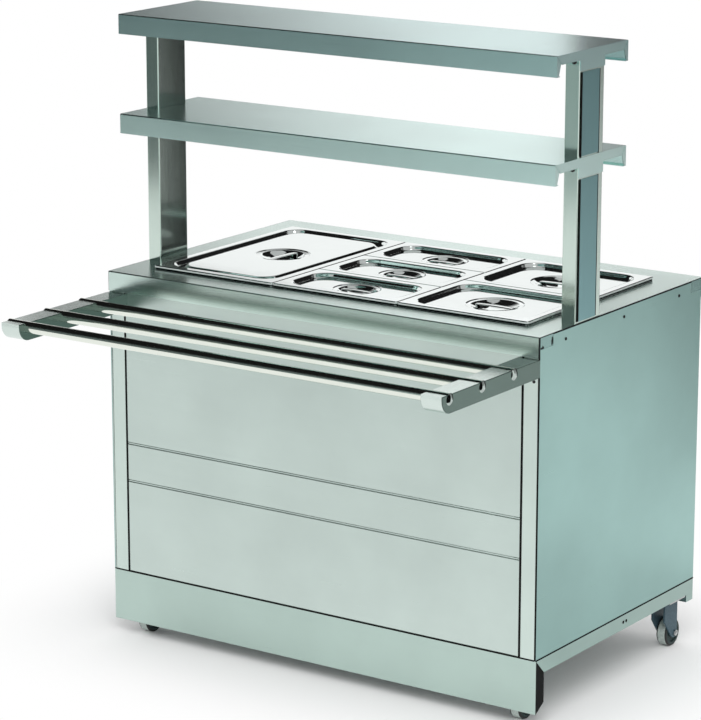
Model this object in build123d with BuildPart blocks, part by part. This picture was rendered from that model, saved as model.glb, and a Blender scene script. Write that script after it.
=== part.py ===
"""Mobile bain-marie serving counter: heated well with six pans, gantry shelves and a tray slide.

Millimetres, +Z up, floor at Z = 0. The customer side faces -Y, the operator side +Y.
The origin is the middle of the footprint, from the nose of the tray slide to the back fascia.
"""

import os
from math import asin, cos, radians, sin

from build123d import *

# Worktop
worktop_width = 1125.0
worktop_height = 850.0
sheet = 1.5
fascia_height = 45.0
fold_radius = 2.5
side_fold_height = 30.0
side_fold_setback = 45.0
corner_tab_length = 55.0
corner_tab_height = 27.0

# Well and pans, on the 530 by 325 gastronorm module
pan_length = 530.0
pan_width = 325.0
pan_depth = 150.0
pan_gap = 2.0
split_gap = 1.0
pan_front_margin = 74.0
pan_back_margin = 96.0
pan_gauge = 1.2
pan_taper = 4.0
pan_corner = 40.0
pan_floor_radius = 12.0
rim_width = 12.0
rim_height = 4.0
rim_corner = 6.0
rim_seat = 8.0
tank_depth = 190.0
tank_flange = 20.0
well_corner = 5.0
bar_width = 18.0
bar_height = 12.0

# Lids
lid_height = 5.0
lid_margin = 21.0
lid_field_depth = 8.0
lid_field_taper = 20.0
dish_depth = 14.0
dish_radius_whole = 52.0
dish_radius_half = 54.0
dish_radius_third = 45.0
handle_width = 16.0
handle_gauge = 2.5
handle_rise = 4.5
handle_weld = 5.0

# Gantry
lower_shelf_height = 348.0
upper_shelf_height = 570.0
shelf_setback = 52.0
shelf_depth = 288.0
shelf_fascia = 44.0
shelf_lip = 12.0
end_flange = 20.0
end_return = 16.0
end_return_foot = 7.0
gusset_height = 42.0
post_width = 36.0
post_depth = 100.0
post_setback = 145.0
post_wall = 1.5
post_corner = 2.5
cover_setback = 10.0
cover_width = 68.0
slot_width = 7.0
slot_gap = 2.0
bolt_radius = 3.0
bolt_head_radius = 5.5
bolt_head_height = 3.0
bolt_length = 12.0
bolt_drop = 24.0
bolt_inset = 13.0

# Cabinet front and sides
skin_setback = 4.0
corner_gap = 4.0
corner_post = 36.0
post_fin = 25.0
panel_fold = 12.0
panel_tuck = 20.0
seam = 3.0
side_seam = 2.0
band_bottom = 369.0
band_top = 457.0
rear_setback = 9.0
side_return = 30.0
screw_radius = 1.5
screw_head_radius = 3.5
screw_head_height = 1.4
screw_length = 9.0
screw_drop = 23.0
screw_setback = 101.0

# Base
base_top = 152.0
base_rail_height = 33.0
base_rail_width = 70.0
base_wall = 2.0
front_rail_width = 40.0
rear_rail_width = 30.0
rear_rail_height = 50.0
rail_hole_radius = 2.5
rail_hole_pitch = 13.0
rail_hole_setback = 376.0
kick_bottom = 33.0
kick_lip = 12.0
kick_cap_thickness = 12.0
kick_cap_rise = 20.0
deck_lip = 20.0

# Casters
caster_plate = 3.0
caster_plate_length = 70.0
caster_front_setback = 73.0
caster_front_inset = 62.5
caster_rear_setback = 70.0
king_pin_radius = 6.0
swivel_disc_radius = 26.0
swivel_disc_height = 7.0
caster_trail = 22.0
wheel_radius = 32.0
wheel_width = 26.0
wheel_edge = 4.0
wheel_gap = 0.5
wheel_crown_gap = 5.0
axle_radius = 4.0
cheek = 4.0
cheek_foot = 11.0
hub_recess_radius = 22.0
hub_radius = 10.0
hub_recess_depth = 4.0

# Tray slide
tray_reach = 366.0
bracket_width = 50.0
bracket_height = 39.0
bracket_drop = 2.0
bracket_wall = 2.0
bracket_nose_radius = 32.0
bracket_edge = 1.5
bracket_screw_drop = 9.5
bracket_screw_inset = 14.5
tube_radius = 12.5
tube_wall = 1.5
tube_pitch = 120.0
tube_nose_setback = 29.0
tube_proud = 3.0
tube_cap_dome = 4.0
tube_cap_plug = 12.0

# Operator side: controls, heating and drain
control_setback = 45.0
control_foot = 75.0
control_fold = 15.0
control_height = 735.0
knob_inset = 312.5
switch_pitch = 100.0
lamp_pitch = 70.0
gland_inset = 132.5
thermostat_size = 48.0
thermostat_depth = 38.0
spindle_radius = 3.0
spindle_length = 14.0
knob_radius = 22.0
knob_height = 18.0
knob_ridge = 6.0
knob_gap = 0.5
knob_cap = 4.0
knob_edge = 1.0
switch_width = 22.0
switch_height = 30.0
switch_depth = 24.0
switch_bezel = 2.5
switch_bezel_lip = 2.0
rocker_gap = 0.6
rocker_depth = 5.0
rocker_tilt = 9.0
rocker_pin_radius = 1.5
rocker_pocket = 11.0
lamp_radius = 6.0
lamp_bezel_radius = 8.0
lamp_bezel = 2.0
lamp_depth = 22.0
gland_bore = 5.0
gland_thread_radius = 8.0
gland_hex_radius = 13.0
gland_hex = 8.0
gland_dome = 14.0
gland_nut = 6.0
element_radius = 4.0
element_run = 760.0
element_pitch = 100.0
element_runs = 4
element_bend = 0.45
clamp_width = 24.0
clamp_length = 15.0
clamp_wall = 1.5
clamp_spread = 400.0
drain_place = -300.0
drain_setback = 60.0
drain_pipe_radius = 14.0
drain_pipe_bore = 11.0
drain_pipe_drop = 55.0
valve_radius = 19.0
valve_height = 40.0
valve_reach = 62.0
valve_spout_radius = 15.0
valve_bore = 10.0
stem_radius = 5.0
stem_length = 12.0
lever_length = 80.0
lever_width = 16.0
lever_gauge = 5.0

# Clearances
running_gap = 0.05
assembly_gap = 0.3

# Places that several pieces share
half_width = worktop_width / 2
worktop_depth = pan_front_margin + pan_length + pan_back_margin
front_edge = (tray_reach - worktop_depth) / 2
back_edge = (tray_reach + worktop_depth) / 2
worktop_middle = (front_edge + back_edge) / 2
worktop_under = worktop_height - sheet
skin = front_edge + skin_setback
side_back = back_edge - rear_setback
screw_rows = (skin + screw_setback, (skin + side_back) / 2, side_back - screw_setback)
column_pitch = pan_width + pan_gap
pans_front = front_edge + pan_front_margin
pans_middle = pans_front + pan_length / 2
well_width = 2 * column_pitch + pan_width - 2 * rim_seat
well_depth = pan_length - 2 * rim_seat
tank_floor = worktop_height - tank_depth
tank_under = tank_floor - sheet
rim_top = worktop_height + rim_height
lid_top = rim_top + lid_height
half_length = (pan_length - split_gap) / 2
third_length = (pan_length - 2 * split_gap) / 3
shelf_front = front_edge + shelf_setback
shelf_back = shelf_front + shelf_depth
post_front = front_edge + post_setback
post_back = post_front + post_depth
base_under = base_top - base_rail_height
panel_half = half_width - corner_gap - corner_post - seam
kick_back = skin + sheet
tray_nose = front_edge - tray_reach
bracket_top = worktop_height - fascia_height - bracket_drop
bracket_under = bracket_top - bracket_height
bracket_screw_z = bracket_under - bracket_screw_drop
bracket_screw_x = half_width - bracket_screw_inset
tube_height = bracket_top + tube_proud - tube_radius
tube_rows = [tray_nose + tube_nose_setback + n * tube_pitch for n in range(3)]
control_face = back_edge - control_setback
knob_place = half_width - knob_inset
switch_place = knob_place - switch_pitch
lamp_place = switch_place - lamp_pitch
gland_place = gland_inset - half_width
rear_caster_x = half_width - base_rail_width / 2
front_caster_x = half_width - caster_front_inset
axle_height = wheel_radius
plate_under = base_under - caster_plate
disc_under = plate_under - assembly_gap - swivel_disc_height


def slab(x, y, z, mode=Mode.ADD):
    """Add or cut a rectangular block between three pairs of coordinates."""
    with Locations(((x[0] + x[1]) / 2, (y[0] + y[1]) / 2, (z[0] + z[1]) / 2)):
        Box(abs(x[1] - x[0]), abs(y[1] - y[0]), abs(z[1] - z[0]), mode=mode)


def write(piece, label):
    """Label one finished piece and write its file."""
    piece.label = label
    export_step(piece, f"parts/{label}.step")


os.makedirs("parts", exist_ok=True)

# Worktop: one sheet folded down at the front and back, with welded corner tabs
with BuildPart() as worktop:
    with BuildSketch(Plane.XY.offset(worktop_under)):
        with Locations((0, worktop_middle)):
            Rectangle(worktop_width, worktop_depth)
        with Locations((0, pans_middle)):
            RectangleRounded(well_width, well_depth, well_corner, mode=Mode.SUBTRACT)
    extrude(amount=sheet)
    for fold in (front_edge, back_edge - sheet):
        fascia_z = (worktop_height - fascia_height, worktop_under)
        slab((-half_width, half_width), (fold, fold + sheet), fascia_z)
    for side in (-1, 1):
        edge = side * half_width
        inner = side * (half_width - sheet)
        fold_run = (skin + side_fold_setback, back_edge - side_fold_setback)
        slab((inner - side * sheet, inner), fold_run, (worktop_under - side_fold_height, worktop_under))
        for start, end in ((front_edge, corner_tab_length), (back_edge, -corner_tab_length)):
            slab((inner, edge), (start, start + end), (worktop_height - corner_tab_height, worktop_under))
    long_edges = worktop.edges().filter_by(Axis.X).group_by(Axis.Z)[-1]
    fillet(long_edges.filter_by(lambda e: not front_edge < e.center().Y < back_edge), fold_radius)
    for side in (-1, 1):
        for screw_y in screw_rows:
            with Locations(Location((side * half_width, screw_y, worktop_height - screw_drop), (0, 90, 0))):
                Cylinder(screw_radius + assembly_gap, 4 * screw_length, mode=Mode.SUBTRACT)
write(worktop.part, "worktop")

# Well tank: a floor and four flanged walls welded together under the cut-out, with a drain hole
drain_y = pans_front + pan_length - rim_seat - drain_setback
well_x = (-well_width / 2, well_width / 2)
well_y = (pans_middle - well_depth / 2, pans_middle + well_depth / 2)
flange_z = (worktop_under - sheet, worktop_under)
with BuildPart() as tank_bottom:
    slab(well_x, well_y, (tank_under, tank_floor))
    with Locations((drain_place, drain_y, tank_floor)):
        Cylinder(drain_pipe_radius + assembly_gap, 4 * sheet, mode=Mode.SUBTRACT)
with BuildPart() as tank_long_walls:
    wall_x = (well_x[0] - sheet, well_x[1] + sheet)
    flange_x = (well_x[0] - tank_flange, well_x[1] + tank_flange)
    for side, face in ((-1, well_y[0]), (1, well_y[1])):
        slab(wall_x, (face, face + side * sheet), (tank_under, worktop_under))
        slab(flange_x, (face, face + side * tank_flange), flange_z)
with BuildPart() as tank_end_walls:
    for side, face in ((-1, well_x[0]), (1, well_x[1])):
        slab((face, face + side * sheet), well_y, (tank_under, worktop_under))
        slab((face, face + side * tank_flange), well_y, flange_z)
tank_sheets = tank_bottom.solids() + tank_long_walls.solids() + tank_end_walls.solids()
write(Compound(tank_sheets), "well_tank")

# Pan support bars: two along the well between the columns, three between the split pans
with BuildPart() as pan_support_bars:
    bar_z = (worktop_height - bar_height, worktop_height)
    for bar_x in (-column_pitch / 2, column_pitch / 2):
        slab((bar_x - bar_width / 2, bar_x + bar_width / 2), well_y, bar_z)
    bar_end = (column_pitch - bar_width) / 2 - assembly_gap
    for row in (1, 2):
        bar_y = pans_front + row * (third_length + split_gap) - split_gap / 2
        slab((-bar_end, bar_end), (bar_y - bar_width / 2, bar_y + bar_width / 2), bar_z)
    right_x = ((column_pitch + bar_width) / 2 + assembly_gap, well_width / 2)
    slab(right_x, (pans_middle - bar_width / 2, pans_middle + bar_width / 2), bar_z)
write(pan_support_bars.part, "pan_support_bars")


def food_pan(x, y, length_x, length_y):
    """One deep-drawn pan: flat rim with a turned-down hem, tapered walls and a rounded floor."""
    mouth_x = length_x - 2 * rim_width
    mouth_y = length_y - 2 * rim_width
    with BuildPart() as pan:
        with BuildSketch(Plane.XY.offset(worktop_height)):
            with Locations((x, y)):
                RectangleRounded(length_x, length_y, rim_corner)
        extrude(amount=rim_height)
        with BuildSketch(Plane.XY.offset(worktop_height)):
            with Locations((x, y)):
                RectangleRounded(length_x - 2 * pan_gauge, length_y - 2 * pan_gauge, rim_corner - pan_gauge)
        extrude(amount=rim_height - pan_gauge, mode=Mode.SUBTRACT)
        with BuildSketch(Plane(origin=(x, y, rim_top), x_dir=(1, 0, 0), z_dir=(0, 0, -1))):
            RectangleRounded(mouth_x, mouth_y, pan_corner)
        extrude(amount=pan_depth, taper=pan_taper)
        with BuildSketch(Plane(origin=(x, y, rim_top), x_dir=(1, 0, 0), z_dir=(0, 0, -1))):
            RectangleRounded(mouth_x - 2 * pan_gauge, mouth_y - 2 * pan_gauge, pan_corner - pan_gauge)
        extrude(amount=pan_depth - pan_gauge, taper=pan_taper, mode=Mode.SUBTRACT)
        fillet(pan.faces().filter_by(Plane.XY).sort_by(Axis.Z)[1].edges(), pan_floor_radius - pan_gauge)
        fillet(pan.faces().filter_by(Plane.XY).sort_by(Axis.Z)[0].edges(), pan_floor_radius)
    return pan.part


def bowl_arc(radius, depth):
    """Points of the arc of a shallow round bowl, from its edge through its middle to its lowest point."""
    sphere = (radius**2 + depth**2) / (2 * depth)
    half_angle = asin(radius / sphere) / 2
    middle = (sphere * sin(half_angle), sphere - depth - sphere * cos(half_angle))
    return (radius, 0), middle, (0, -depth)


def pan_lid(x, y, length_x, length_y, dish_radius, handle_turn):
    """One pressed lid: hemmed flange, sunk field, round dish and a strap handle welded over it."""
    field_x = length_x - 2 * lid_margin
    field_y = length_y - 2 * lid_margin
    floor = lid_top - lid_field_depth
    with BuildPart() as lid:
        with BuildSketch(Plane.XY.offset(rim_top)):
            with Locations((x, y)):
                RectangleRounded(length_x, length_y, rim_corner)
        extrude(amount=lid_height)
        with BuildSketch(Plane.XY.offset(rim_top)):
            with Locations((x, y)):
                RectangleRounded(length_x - 2 * pan_gauge, length_y - 2 * pan_gauge, rim_corner - pan_gauge)
        extrude(amount=lid_height - pan_gauge, mode=Mode.SUBTRACT)
        with BuildSketch(Plane(origin=(x, y, lid_top), x_dir=(1, 0, 0), z_dir=(0, 0, -1))):
            RectangleRounded(field_x, field_y, pan_corner)
        extrude(amount=lid_field_depth + pan_gauge, taper=lid_field_taper)
        along, across = cos(radians(handle_turn)), sin(radians(handle_turn))
        dish_plane = Plane(origin=(x, y, floor), x_dir=(along, across, 0), z_dir=(across, -along, 0))
        with BuildSketch(dish_plane):
            with BuildLine():
                edge, middle, lowest = bowl_arc(dish_radius + pan_gauge, dish_depth + pan_gauge)
                ThreePointArc(edge, middle, lowest)
                Polyline(lowest, (0, 0), edge)
            make_face()
        revolve(axis=Axis((x, y, floor), (0, 0, 1)))
        with BuildSketch(Plane(origin=(x, y, lid_top), x_dir=(1, 0, 0), z_dir=(0, 0, -1))):
            RectangleRounded(field_x - 2 * pan_gauge, field_y - 2 * pan_gauge, pan_corner - pan_gauge)
        extrude(amount=lid_field_depth, taper=lid_field_taper, mode=Mode.SUBTRACT)
        with BuildSketch(dish_plane):
            with BuildLine():
                edge, middle, lowest = bowl_arc(dish_radius, dish_depth)
                ThreePointArc(edge, middle, lowest)
                Polyline(lowest, (0, 0), edge)
            make_face()
        revolve(axis=Axis((x, y, floor), (0, 0, 1)), mode=Mode.SUBTRACT)
        reach = dish_radius + handle_weld
        with BuildSketch(dish_plane):
            with BuildLine():
                ThreePointArc((-reach, handle_gauge), (0, handle_rise + handle_gauge), (reach, handle_gauge))
                Line((reach, handle_gauge), (reach, 0))
                Line((reach, 0), (dish_radius, 0))
                ThreePointArc((dish_radius, 0), (0, handle_rise), (-dish_radius, 0))
                Line((-dish_radius, 0), (-reach, 0))
                Line((-reach, 0), (-reach, handle_gauge))
            make_face()
        extrude(amount=handle_width / 2, both=True)
    return lid.part


# Pans and their lids: one whole, three thirds and two halves, from left to right
third_rows = [pans_front + third_length / 2 + n * (third_length + split_gap) for n in range(3)]
half_rows = [pans_front + half_length / 2 + n * (half_length + split_gap) for n in range(2)]
pan_places = {"left": (-column_pitch, pans_middle, pan_length, dish_radius_whole, 90)}
for row_name, row_y in zip(("front", "center", "back"), third_rows):
    pan_places[f"middle_{row_name}"] = (0, row_y, third_length, dish_radius_third, 0)
for row_name, row_y in zip(("front", "back"), half_rows):
    pan_places[f"right_{row_name}"] = (column_pitch, row_y, half_length, dish_radius_half, 0)
for place, (pan_x, pan_y, length_y, dish, turn) in pan_places.items():
    write(food_pan(pan_x, pan_y, pan_width, length_y), f"pan_{place}")
    write(pan_lid(pan_x, pan_y, pan_width, length_y, dish, turn), f"lid_{place}")


def shelf(top, notched):
    """One gantry shelf: folded sheet with end flanges, fascia returns and a gusset at each upright."""
    under = top - sheet
    with BuildPart() as board:
        with BuildSketch(Plane.YZ.offset(-half_width)):
            with Locations(((shelf_front + shelf_back) / 2, top - sheet / 2)):
                Rectangle(shelf_depth, sheet)
            for edge, inward in ((shelf_front, 1), (shelf_back, -1)):
                with Locations((edge + inward * sheet / 2, top - shelf_fascia / 2)):
                    Rectangle(sheet, shelf_fascia)
                with Locations((edge + inward * shelf_lip / 2, top - shelf_fascia + sheet / 2)):
                    Rectangle(shelf_lip, sheet)
        extrude(amount=worktop_width)
        front_and_back = board.edges().filter_by(Axis.X).group_by(Axis.Z)[-1]
        fillet(front_and_back, fold_radius)
        for plane in (Plane.YZ.offset(-half_width), Plane.YZ.offset(half_width - sheet)):
            with BuildSketch(plane):
                with BuildLine():
                    Polyline(
                        (shelf_front + sheet, under),
                        (shelf_front + end_flange, top - end_flange),
                        (post_front, top - end_flange),
                        (post_front, top - gusset_height),
                        (post_back, top - gusset_height),
                        (post_back, top - end_flange),
                        (shelf_back - end_flange, top - end_flange),
                        (shelf_back - sheet, under),
                        close=True,
                    )
                make_face()
            extrude(amount=sheet)
            for edge, inward in ((shelf_front, 1), (shelf_back, -1)):
                with BuildSketch(plane):
                    with BuildLine():
                        Polyline(
                            (edge + inward * sheet, top - 2 * sheet),
                            (edge + inward * end_return, top - end_return - sheet),
                            (edge + inward * end_return_foot, top - shelf_fascia),
                            (edge + inward * sheet, top - shelf_fascia),
                            close=True,
                        )
                    make_face()
                extrude(amount=sheet)
        if notched:
            for side in (-1, 1):
                notch_x = (side * (half_width - post_width - assembly_gap), side * (half_width - sheet))
                notch_y = (post_front - assembly_gap, post_back + assembly_gap)
                slab(notch_x, notch_y, (under, top), Mode.SUBTRACT)
    return board.part


# Gantry shelves: the uprights pass through notches in the lower one and carry the upper one
lower_shelf_top = worktop_height + lower_shelf_height
upper_shelf_top = worktop_height + upper_shelf_height
write(shelf(lower_shelf_top, True), "lower_shelf")
write(shelf(upper_shelf_top, False), "upper_shelf")


def upright(side):
    """One rectangular upright, slotted in front of and behind the cover plate on its outer side."""
    outer = side * (half_width - sheet)
    inner = side * (half_width - post_width)
    length = upper_shelf_height - sheet
    with BuildPart() as post:
        with BuildSketch(Plane.XY.offset(worktop_height)):
            with Locations(((inner + outer) / 2, (post_front + post_back) / 2)):
                RectangleRounded(abs(outer - inner), post_depth, post_corner)
                Rectangle(abs(outer - inner) - 2 * post_wall, post_depth - 2 * post_wall, mode=Mode.SUBTRACT)
        extrude(amount=length)
        cover_back = post_front + cover_setback + cover_width
        for stretch in cover_stretches:
            for slot in ((post_front + post_wall, post_front + post_wall + slot_width),
                         (cover_back + slot_gap, cover_back + 2 * slot_gap)):
                slab((outer - side * post_wall, outer), slot, stretch, Mode.SUBTRACT)
        for shelf_top in (lower_shelf_top, upper_shelf_top):
            bolt_x = side * (half_width - sheet - bolt_inset)
            with Locations(Location((bolt_x, post_front, shelf_top - bolt_drop), (90, 0, 0))):
                Cylinder(bolt_radius + assembly_gap, 4 * post_wall, mode=Mode.SUBTRACT)
    return post.part


# Uprights, with their cover plates in two stretches below and above the lower shelf
cover_stretches = (
    (worktop_height + seam, lower_shelf_top - gusset_height - seam),
    (lower_shelf_top + seam, upper_shelf_top - gusset_height - seam),
)
write(upright(-1), "left_gantry_post")
write(upright(1), "right_gantry_post")

with BuildPart() as gantry_post_covers:
    cover_y = (post_front + cover_setback, post_front + cover_setback + cover_width)
    for side in (-1, 1):
        for stretch in cover_stretches:
            slab((side * (half_width - sheet), side * half_width), cover_y, stretch)
write(gantry_post_covers.part, "gantry_post_covers")

# Shelf bolts: button heads on the front of each upright, under each shelf
with BuildPart() as shelf_bolts:
    for side in (-1, 1):
        for shelf_top in (lower_shelf_top, upper_shelf_top):
            bolt_x = side * (half_width - sheet - bolt_inset)
            bolt_z = shelf_top - bolt_drop
            with Locations(Location((bolt_x, post_front, bolt_z), (90, 0, 0))):
                Cone(bolt_head_radius, bolt_radius, bolt_head_height,
                     align=(Align.CENTER, Align.CENTER, Align.MIN))
                Cylinder(bolt_radius, bolt_length, align=(Align.CENTER, Align.CENTER, Align.MAX))
write(shelf_bolts.part, "shelf_bolts")


def front_panel(bottom, top):
    """One front panel: a sheet with its four edges folded back."""
    with BuildPart() as panel:
        slab((-panel_half, panel_half), (skin, skin + panel_fold), (bottom, top))
        pocket_x = (sheet - panel_half, panel_half - sheet)
        slab(pocket_x, (skin + sheet, skin + panel_fold), (bottom + sheet, top - sheet), Mode.SUBTRACT)
        fillet(panel.faces().sort_by(Axis.Y)[0].edges(), fold_radius)
    return panel.part


# Cabinet front: upper panel tucked behind the fascia, middle band and lower panel
write(front_panel(band_top + seam / 2, worktop_height - fascia_height + panel_tuck), "front_upper_panel")
write(front_panel(band_bottom + seam / 2, band_top - seam / 2), "front_middle_band")
write(front_panel(base_top + side_seam, band_bottom - seam / 2), "front_lower_panel")

# Corner posts: box sections with a fin behind the edges of the front panels
with BuildPart() as front_corner_posts:
    for side in (-1, 1):
        post_x = side * (half_width - corner_gap - corner_post / 2)
        with BuildSketch(Plane.XY.offset(base_top)):
            with Locations((post_x, skin + corner_post / 2)):
                RectangleRounded(corner_post, corner_post, fold_radius)
                Rectangle(corner_post - 2 * sheet, corner_post - 2 * sheet, mode=Mode.SUBTRACT)
            with Locations((post_x - side * (corner_post + post_fin) / 2, skin + panel_fold + sheet / 2)):
                Rectangle(post_fin, sheet)
        extrude(amount=worktop_under - base_top)
        with Locations(Location((side * bracket_screw_x, skin, bracket_screw_z), (90, 0, 0))):
            Cylinder(screw_radius + assembly_gap, 4 * sheet, mode=Mode.SUBTRACT)
write(front_corner_posts.part, "front_corner_posts")


def side_panel(side):
    """One side panel: full-height sheet with a return at the back and notches for the corner tabs."""
    outer = side * half_width
    inner = side * (half_width - sheet)
    with BuildPart() as panel:
        slab((inner, outer), (skin, side_back), (base_top + side_seam, worktop_under))
        return_x = (side * (half_width - side_return), outer)
        slab(return_x, (side_back - sheet, side_back), (base_top + side_seam, worktop_under))
        notch_z = (worktop_height - corner_tab_height - assembly_gap, worktop_height)
        notch_x = (inner - side * assembly_gap, outer + side * assembly_gap)
        tab_reach = corner_tab_length + assembly_gap
        for start, end in ((front_edge, tab_reach), (back_edge, -tab_reach)):
            slab(notch_x, (start, start + end), notch_z, Mode.SUBTRACT)
        for screw_y in screw_rows:
            with Locations(Location((outer, screw_y, worktop_height - screw_drop), (0, 90, 0))):
                Cylinder(screw_radius + assembly_gap, 4 * sheet, mode=Mode.SUBTRACT)
    return panel.part


# Side panels, screwed through their top edge into the side folds of the worktop
write(side_panel(-1), "left_side_panel")
write(side_panel(1), "right_side_panel")

with BuildPart() as panel_screws:
    for side in (-1, 1):
        for screw_y in screw_rows:
            screw_z = worktop_height - screw_drop
            with Locations(Location((side * half_width, screw_y, screw_z), (0, side * 90, 0))):
                Cone(screw_head_radius, screw_radius, screw_head_height,
                     align=(Align.CENTER, Align.CENTER, Align.MIN))
                Cylinder(screw_radius, screw_length, align=(Align.CENTER, Align.CENTER, Align.MAX))
write(panel_screws.part, "panel_screws")

# Base side rails: channels open downwards, mitred at the kick plate
with BuildPart() as base_side_rails:
    rail_back = side_back - rear_rail_width
    for side in (-1, 1):
        rail_start = half_width - base_rail_width if side > 0 else -half_width
        with BuildSketch(Plane.YZ.offset(rail_start)):
            with BuildLine():
                Polyline(
                    (kick_back, base_top),
                    (kick_back + base_rail_height, base_under),
                    (rail_back, base_under),
                    (rail_back, base_top),
                    close=True,
                )
            make_face()
        extrude(amount=base_rail_width)
        hollow_x = (rail_start + base_wall, rail_start + base_rail_width - base_wall)
        slab(hollow_x, (kick_back, rail_back), (base_under, base_top - base_wall), Mode.SUBTRACT)
        for hole in (-rail_hole_pitch / 2, rail_hole_pitch / 2):
            hole_y = skin + rail_hole_setback + hole
            hole_z = base_top - base_rail_height / 2
            with Locations(Location((side * half_width, hole_y, hole_z), (0, 90, 0))):
                Cylinder(rail_hole_radius, 4 * base_wall, mode=Mode.SUBTRACT)
write(base_side_rails.part, "base_side_rails")

# Base front and rear rails
inner_rail = half_width - base_rail_width
with BuildPart() as base_front_rail:
    slab((-inner_rail, inner_rail), (kick_back, kick_back + front_rail_width), (base_under, base_top))
    hollow_y = (kick_back + base_wall, kick_back + front_rail_width - base_wall)
    slab((-inner_rail, inner_rail), hollow_y, (base_under, base_top - base_wall), Mode.SUBTRACT)
write(base_front_rail.part, "base_front_rail")

with BuildPart() as base_rear_rail:
    slab((-half_width, half_width), (rail_back, side_back), (base_top - rear_rail_height, base_top))
    hollow_y = (rail_back + base_wall, side_back - base_wall)
    hollow_z = (base_top - rear_rail_height, base_top - base_wall)
    slab((base_wall - half_width, half_width - base_wall), hollow_y, hollow_z, Mode.SUBTRACT)
write(base_rear_rail.part, "base_rear_rail")

# Base shelf: the floor of the storage space, with a lip at its front edge
with BuildPart() as base_shelf:
    deck_half = half_width - sheet - assembly_gap
    deck_front = skin + corner_post + assembly_gap
    deck_back = side_back - sheet - assembly_gap
    slab((-deck_half, deck_half), (deck_front, deck_back), (base_top, base_top + sheet))
    slab((-deck_half, deck_half), (deck_front, deck_front + sheet), (base_top + sheet, base_top + deck_lip))
write(base_shelf.part, "base_shelf")

# Kick plate with a folded bottom edge, and the black caps behind its ends
with BuildPart() as kick_plate:
    slab((-half_width, half_width), (skin, kick_back), (kick_bottom, base_top))
    lip_half = half_width - kick_cap_thickness
    slab((-lip_half, lip_half), (kick_back, skin + kick_lip), (kick_bottom, kick_bottom + sheet))
    fillet(kick_plate.edges().filter_by(Axis.X).group_by(Axis.Z)[0].sort_by(Axis.Y)[0], fold_radius)
write(kick_plate.part, "kick_plate")

with BuildPart() as kick_plate_caps:
    for cap_start in (-half_width, half_width - kick_cap_thickness):
        with BuildSketch(Plane.YZ.offset(cap_start)):
            with BuildLine():
                Polyline(
                    (kick_back, base_top - assembly_gap),
                    (kick_back + base_rail_height, base_under - assembly_gap),
                    (kick_back + base_rail_height, kick_bottom + kick_cap_rise),
                    (kick_back, kick_bottom),
                    close=True,
                )
            make_face()
        extrude(amount=kick_cap_thickness)
write(kick_plate_caps.part, "kick_plate_caps")

# Tray slide brackets: box sections with a rounded nose, notched for the tubes
tube_spots = [Location((0, row, tube_height), (0, 90, 0)) for row in tube_rows]
for side, bracket_name in ((-1, "left_tray_bracket"), (1, "right_tray_bracket")):
    bracket_start = half_width - bracket_width if side > 0 else -half_width
    with BuildPart() as tray_bracket:
        with BuildSketch(Plane.YZ.offset(bracket_start)):
            with Locations(((tray_nose + skin) / 2, (bracket_top + bracket_under) / 2)):
                Rectangle(skin - tray_nose, bracket_height)
        extrude(amount=bracket_width)
        nose_edge = tray_bracket.edges().filter_by(Axis.X).group_by(Axis.Y)[0].sort_by(Axis.Z)[0]
        fillet(nose_edge, bracket_nose_radius)
        outer_faces = tray_bracket.faces().filter_by(Axis.X)
        fillet(outer_faces.edges().filter_by(lambda e: e.center().Y < skin - bracket_edge), bracket_edge)
        cavity_x = (bracket_start + bracket_wall, bracket_start + bracket_width - bracket_wall)
        cavity_y = (tray_nose + bracket_nose_radius, skin)
        slab(cavity_x, cavity_y, (bracket_under + bracket_wall, bracket_top - bracket_wall), Mode.SUBTRACT)
        with Locations(*tube_spots):
            Cylinder(tube_radius + running_gap, 2 * worktop_width, mode=Mode.SUBTRACT)
    write(tray_bracket.part, bracket_name)

# Bracket screws: one through the front of each corner post, just under the bracket
with BuildPart() as bracket_screws:
    for side in (-1, 1):
        with Locations(Location((side * bracket_screw_x, skin, bracket_screw_z), (90, 0, 0))):
            Cone(screw_head_radius, screw_radius, screw_head_height,
                 align=(Align.CENTER, Align.CENTER, Align.MIN))
            Cylinder(screw_radius, screw_length, align=(Align.CENTER, Align.CENTER, Align.MAX))
write(bracket_screws.part, "bracket_screws")

# Tray slide tubes and their domed end caps
with BuildPart() as tray_tubes:
    with Locations(*tube_spots):
        Cylinder(tube_radius, worktop_width)
        Cylinder(tube_radius - tube_wall, worktop_width, mode=Mode.SUBTRACT)
write(tray_tubes.part, "tray_tubes")

with BuildPart() as tube_end_caps:
    for side in (-1, 1):
        for row in tube_rows:
            with Locations(Location((side * half_width, row, tube_height), (0, side * 90, 0))):
                Cone(tube_radius, tube_radius - tube_cap_dome, tube_cap_dome,
                     align=(Align.CENTER, Align.CENTER, Align.MIN))
                Cylinder(tube_radius - tube_wall - running_gap, tube_cap_plug,
                         align=(Align.CENTER, Align.CENTER, Align.MAX))
write(tube_end_caps.part, "tube_end_caps")

# Caster plates under the side rails, each with the king pin its fork turns on
caster_places = {
    "front_left": (-front_caster_x, skin + caster_front_setback, -1),
    "front_right": (front_caster_x, skin + caster_front_setback, -1),
    "rear_left": (-rear_caster_x, side_back - caster_rear_setback, 1),
    "rear_right": (rear_caster_x, side_back - caster_rear_setback, 1),
}
with BuildPart() as caster_plates:
    for spot_x, spot_y, _ in caster_places.values():
        with Locations((spot_x, spot_y, plate_under)):
            Box(base_rail_width, caster_plate_length, caster_plate,
                align=(Align.CENTER, Align.CENTER, Align.MIN))
            Cylinder(king_pin_radius, swivel_disc_height + assembly_gap,
                     align=(Align.CENTER, Align.CENTER, Align.MAX))
write(caster_plates.part, "caster_plates")


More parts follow.
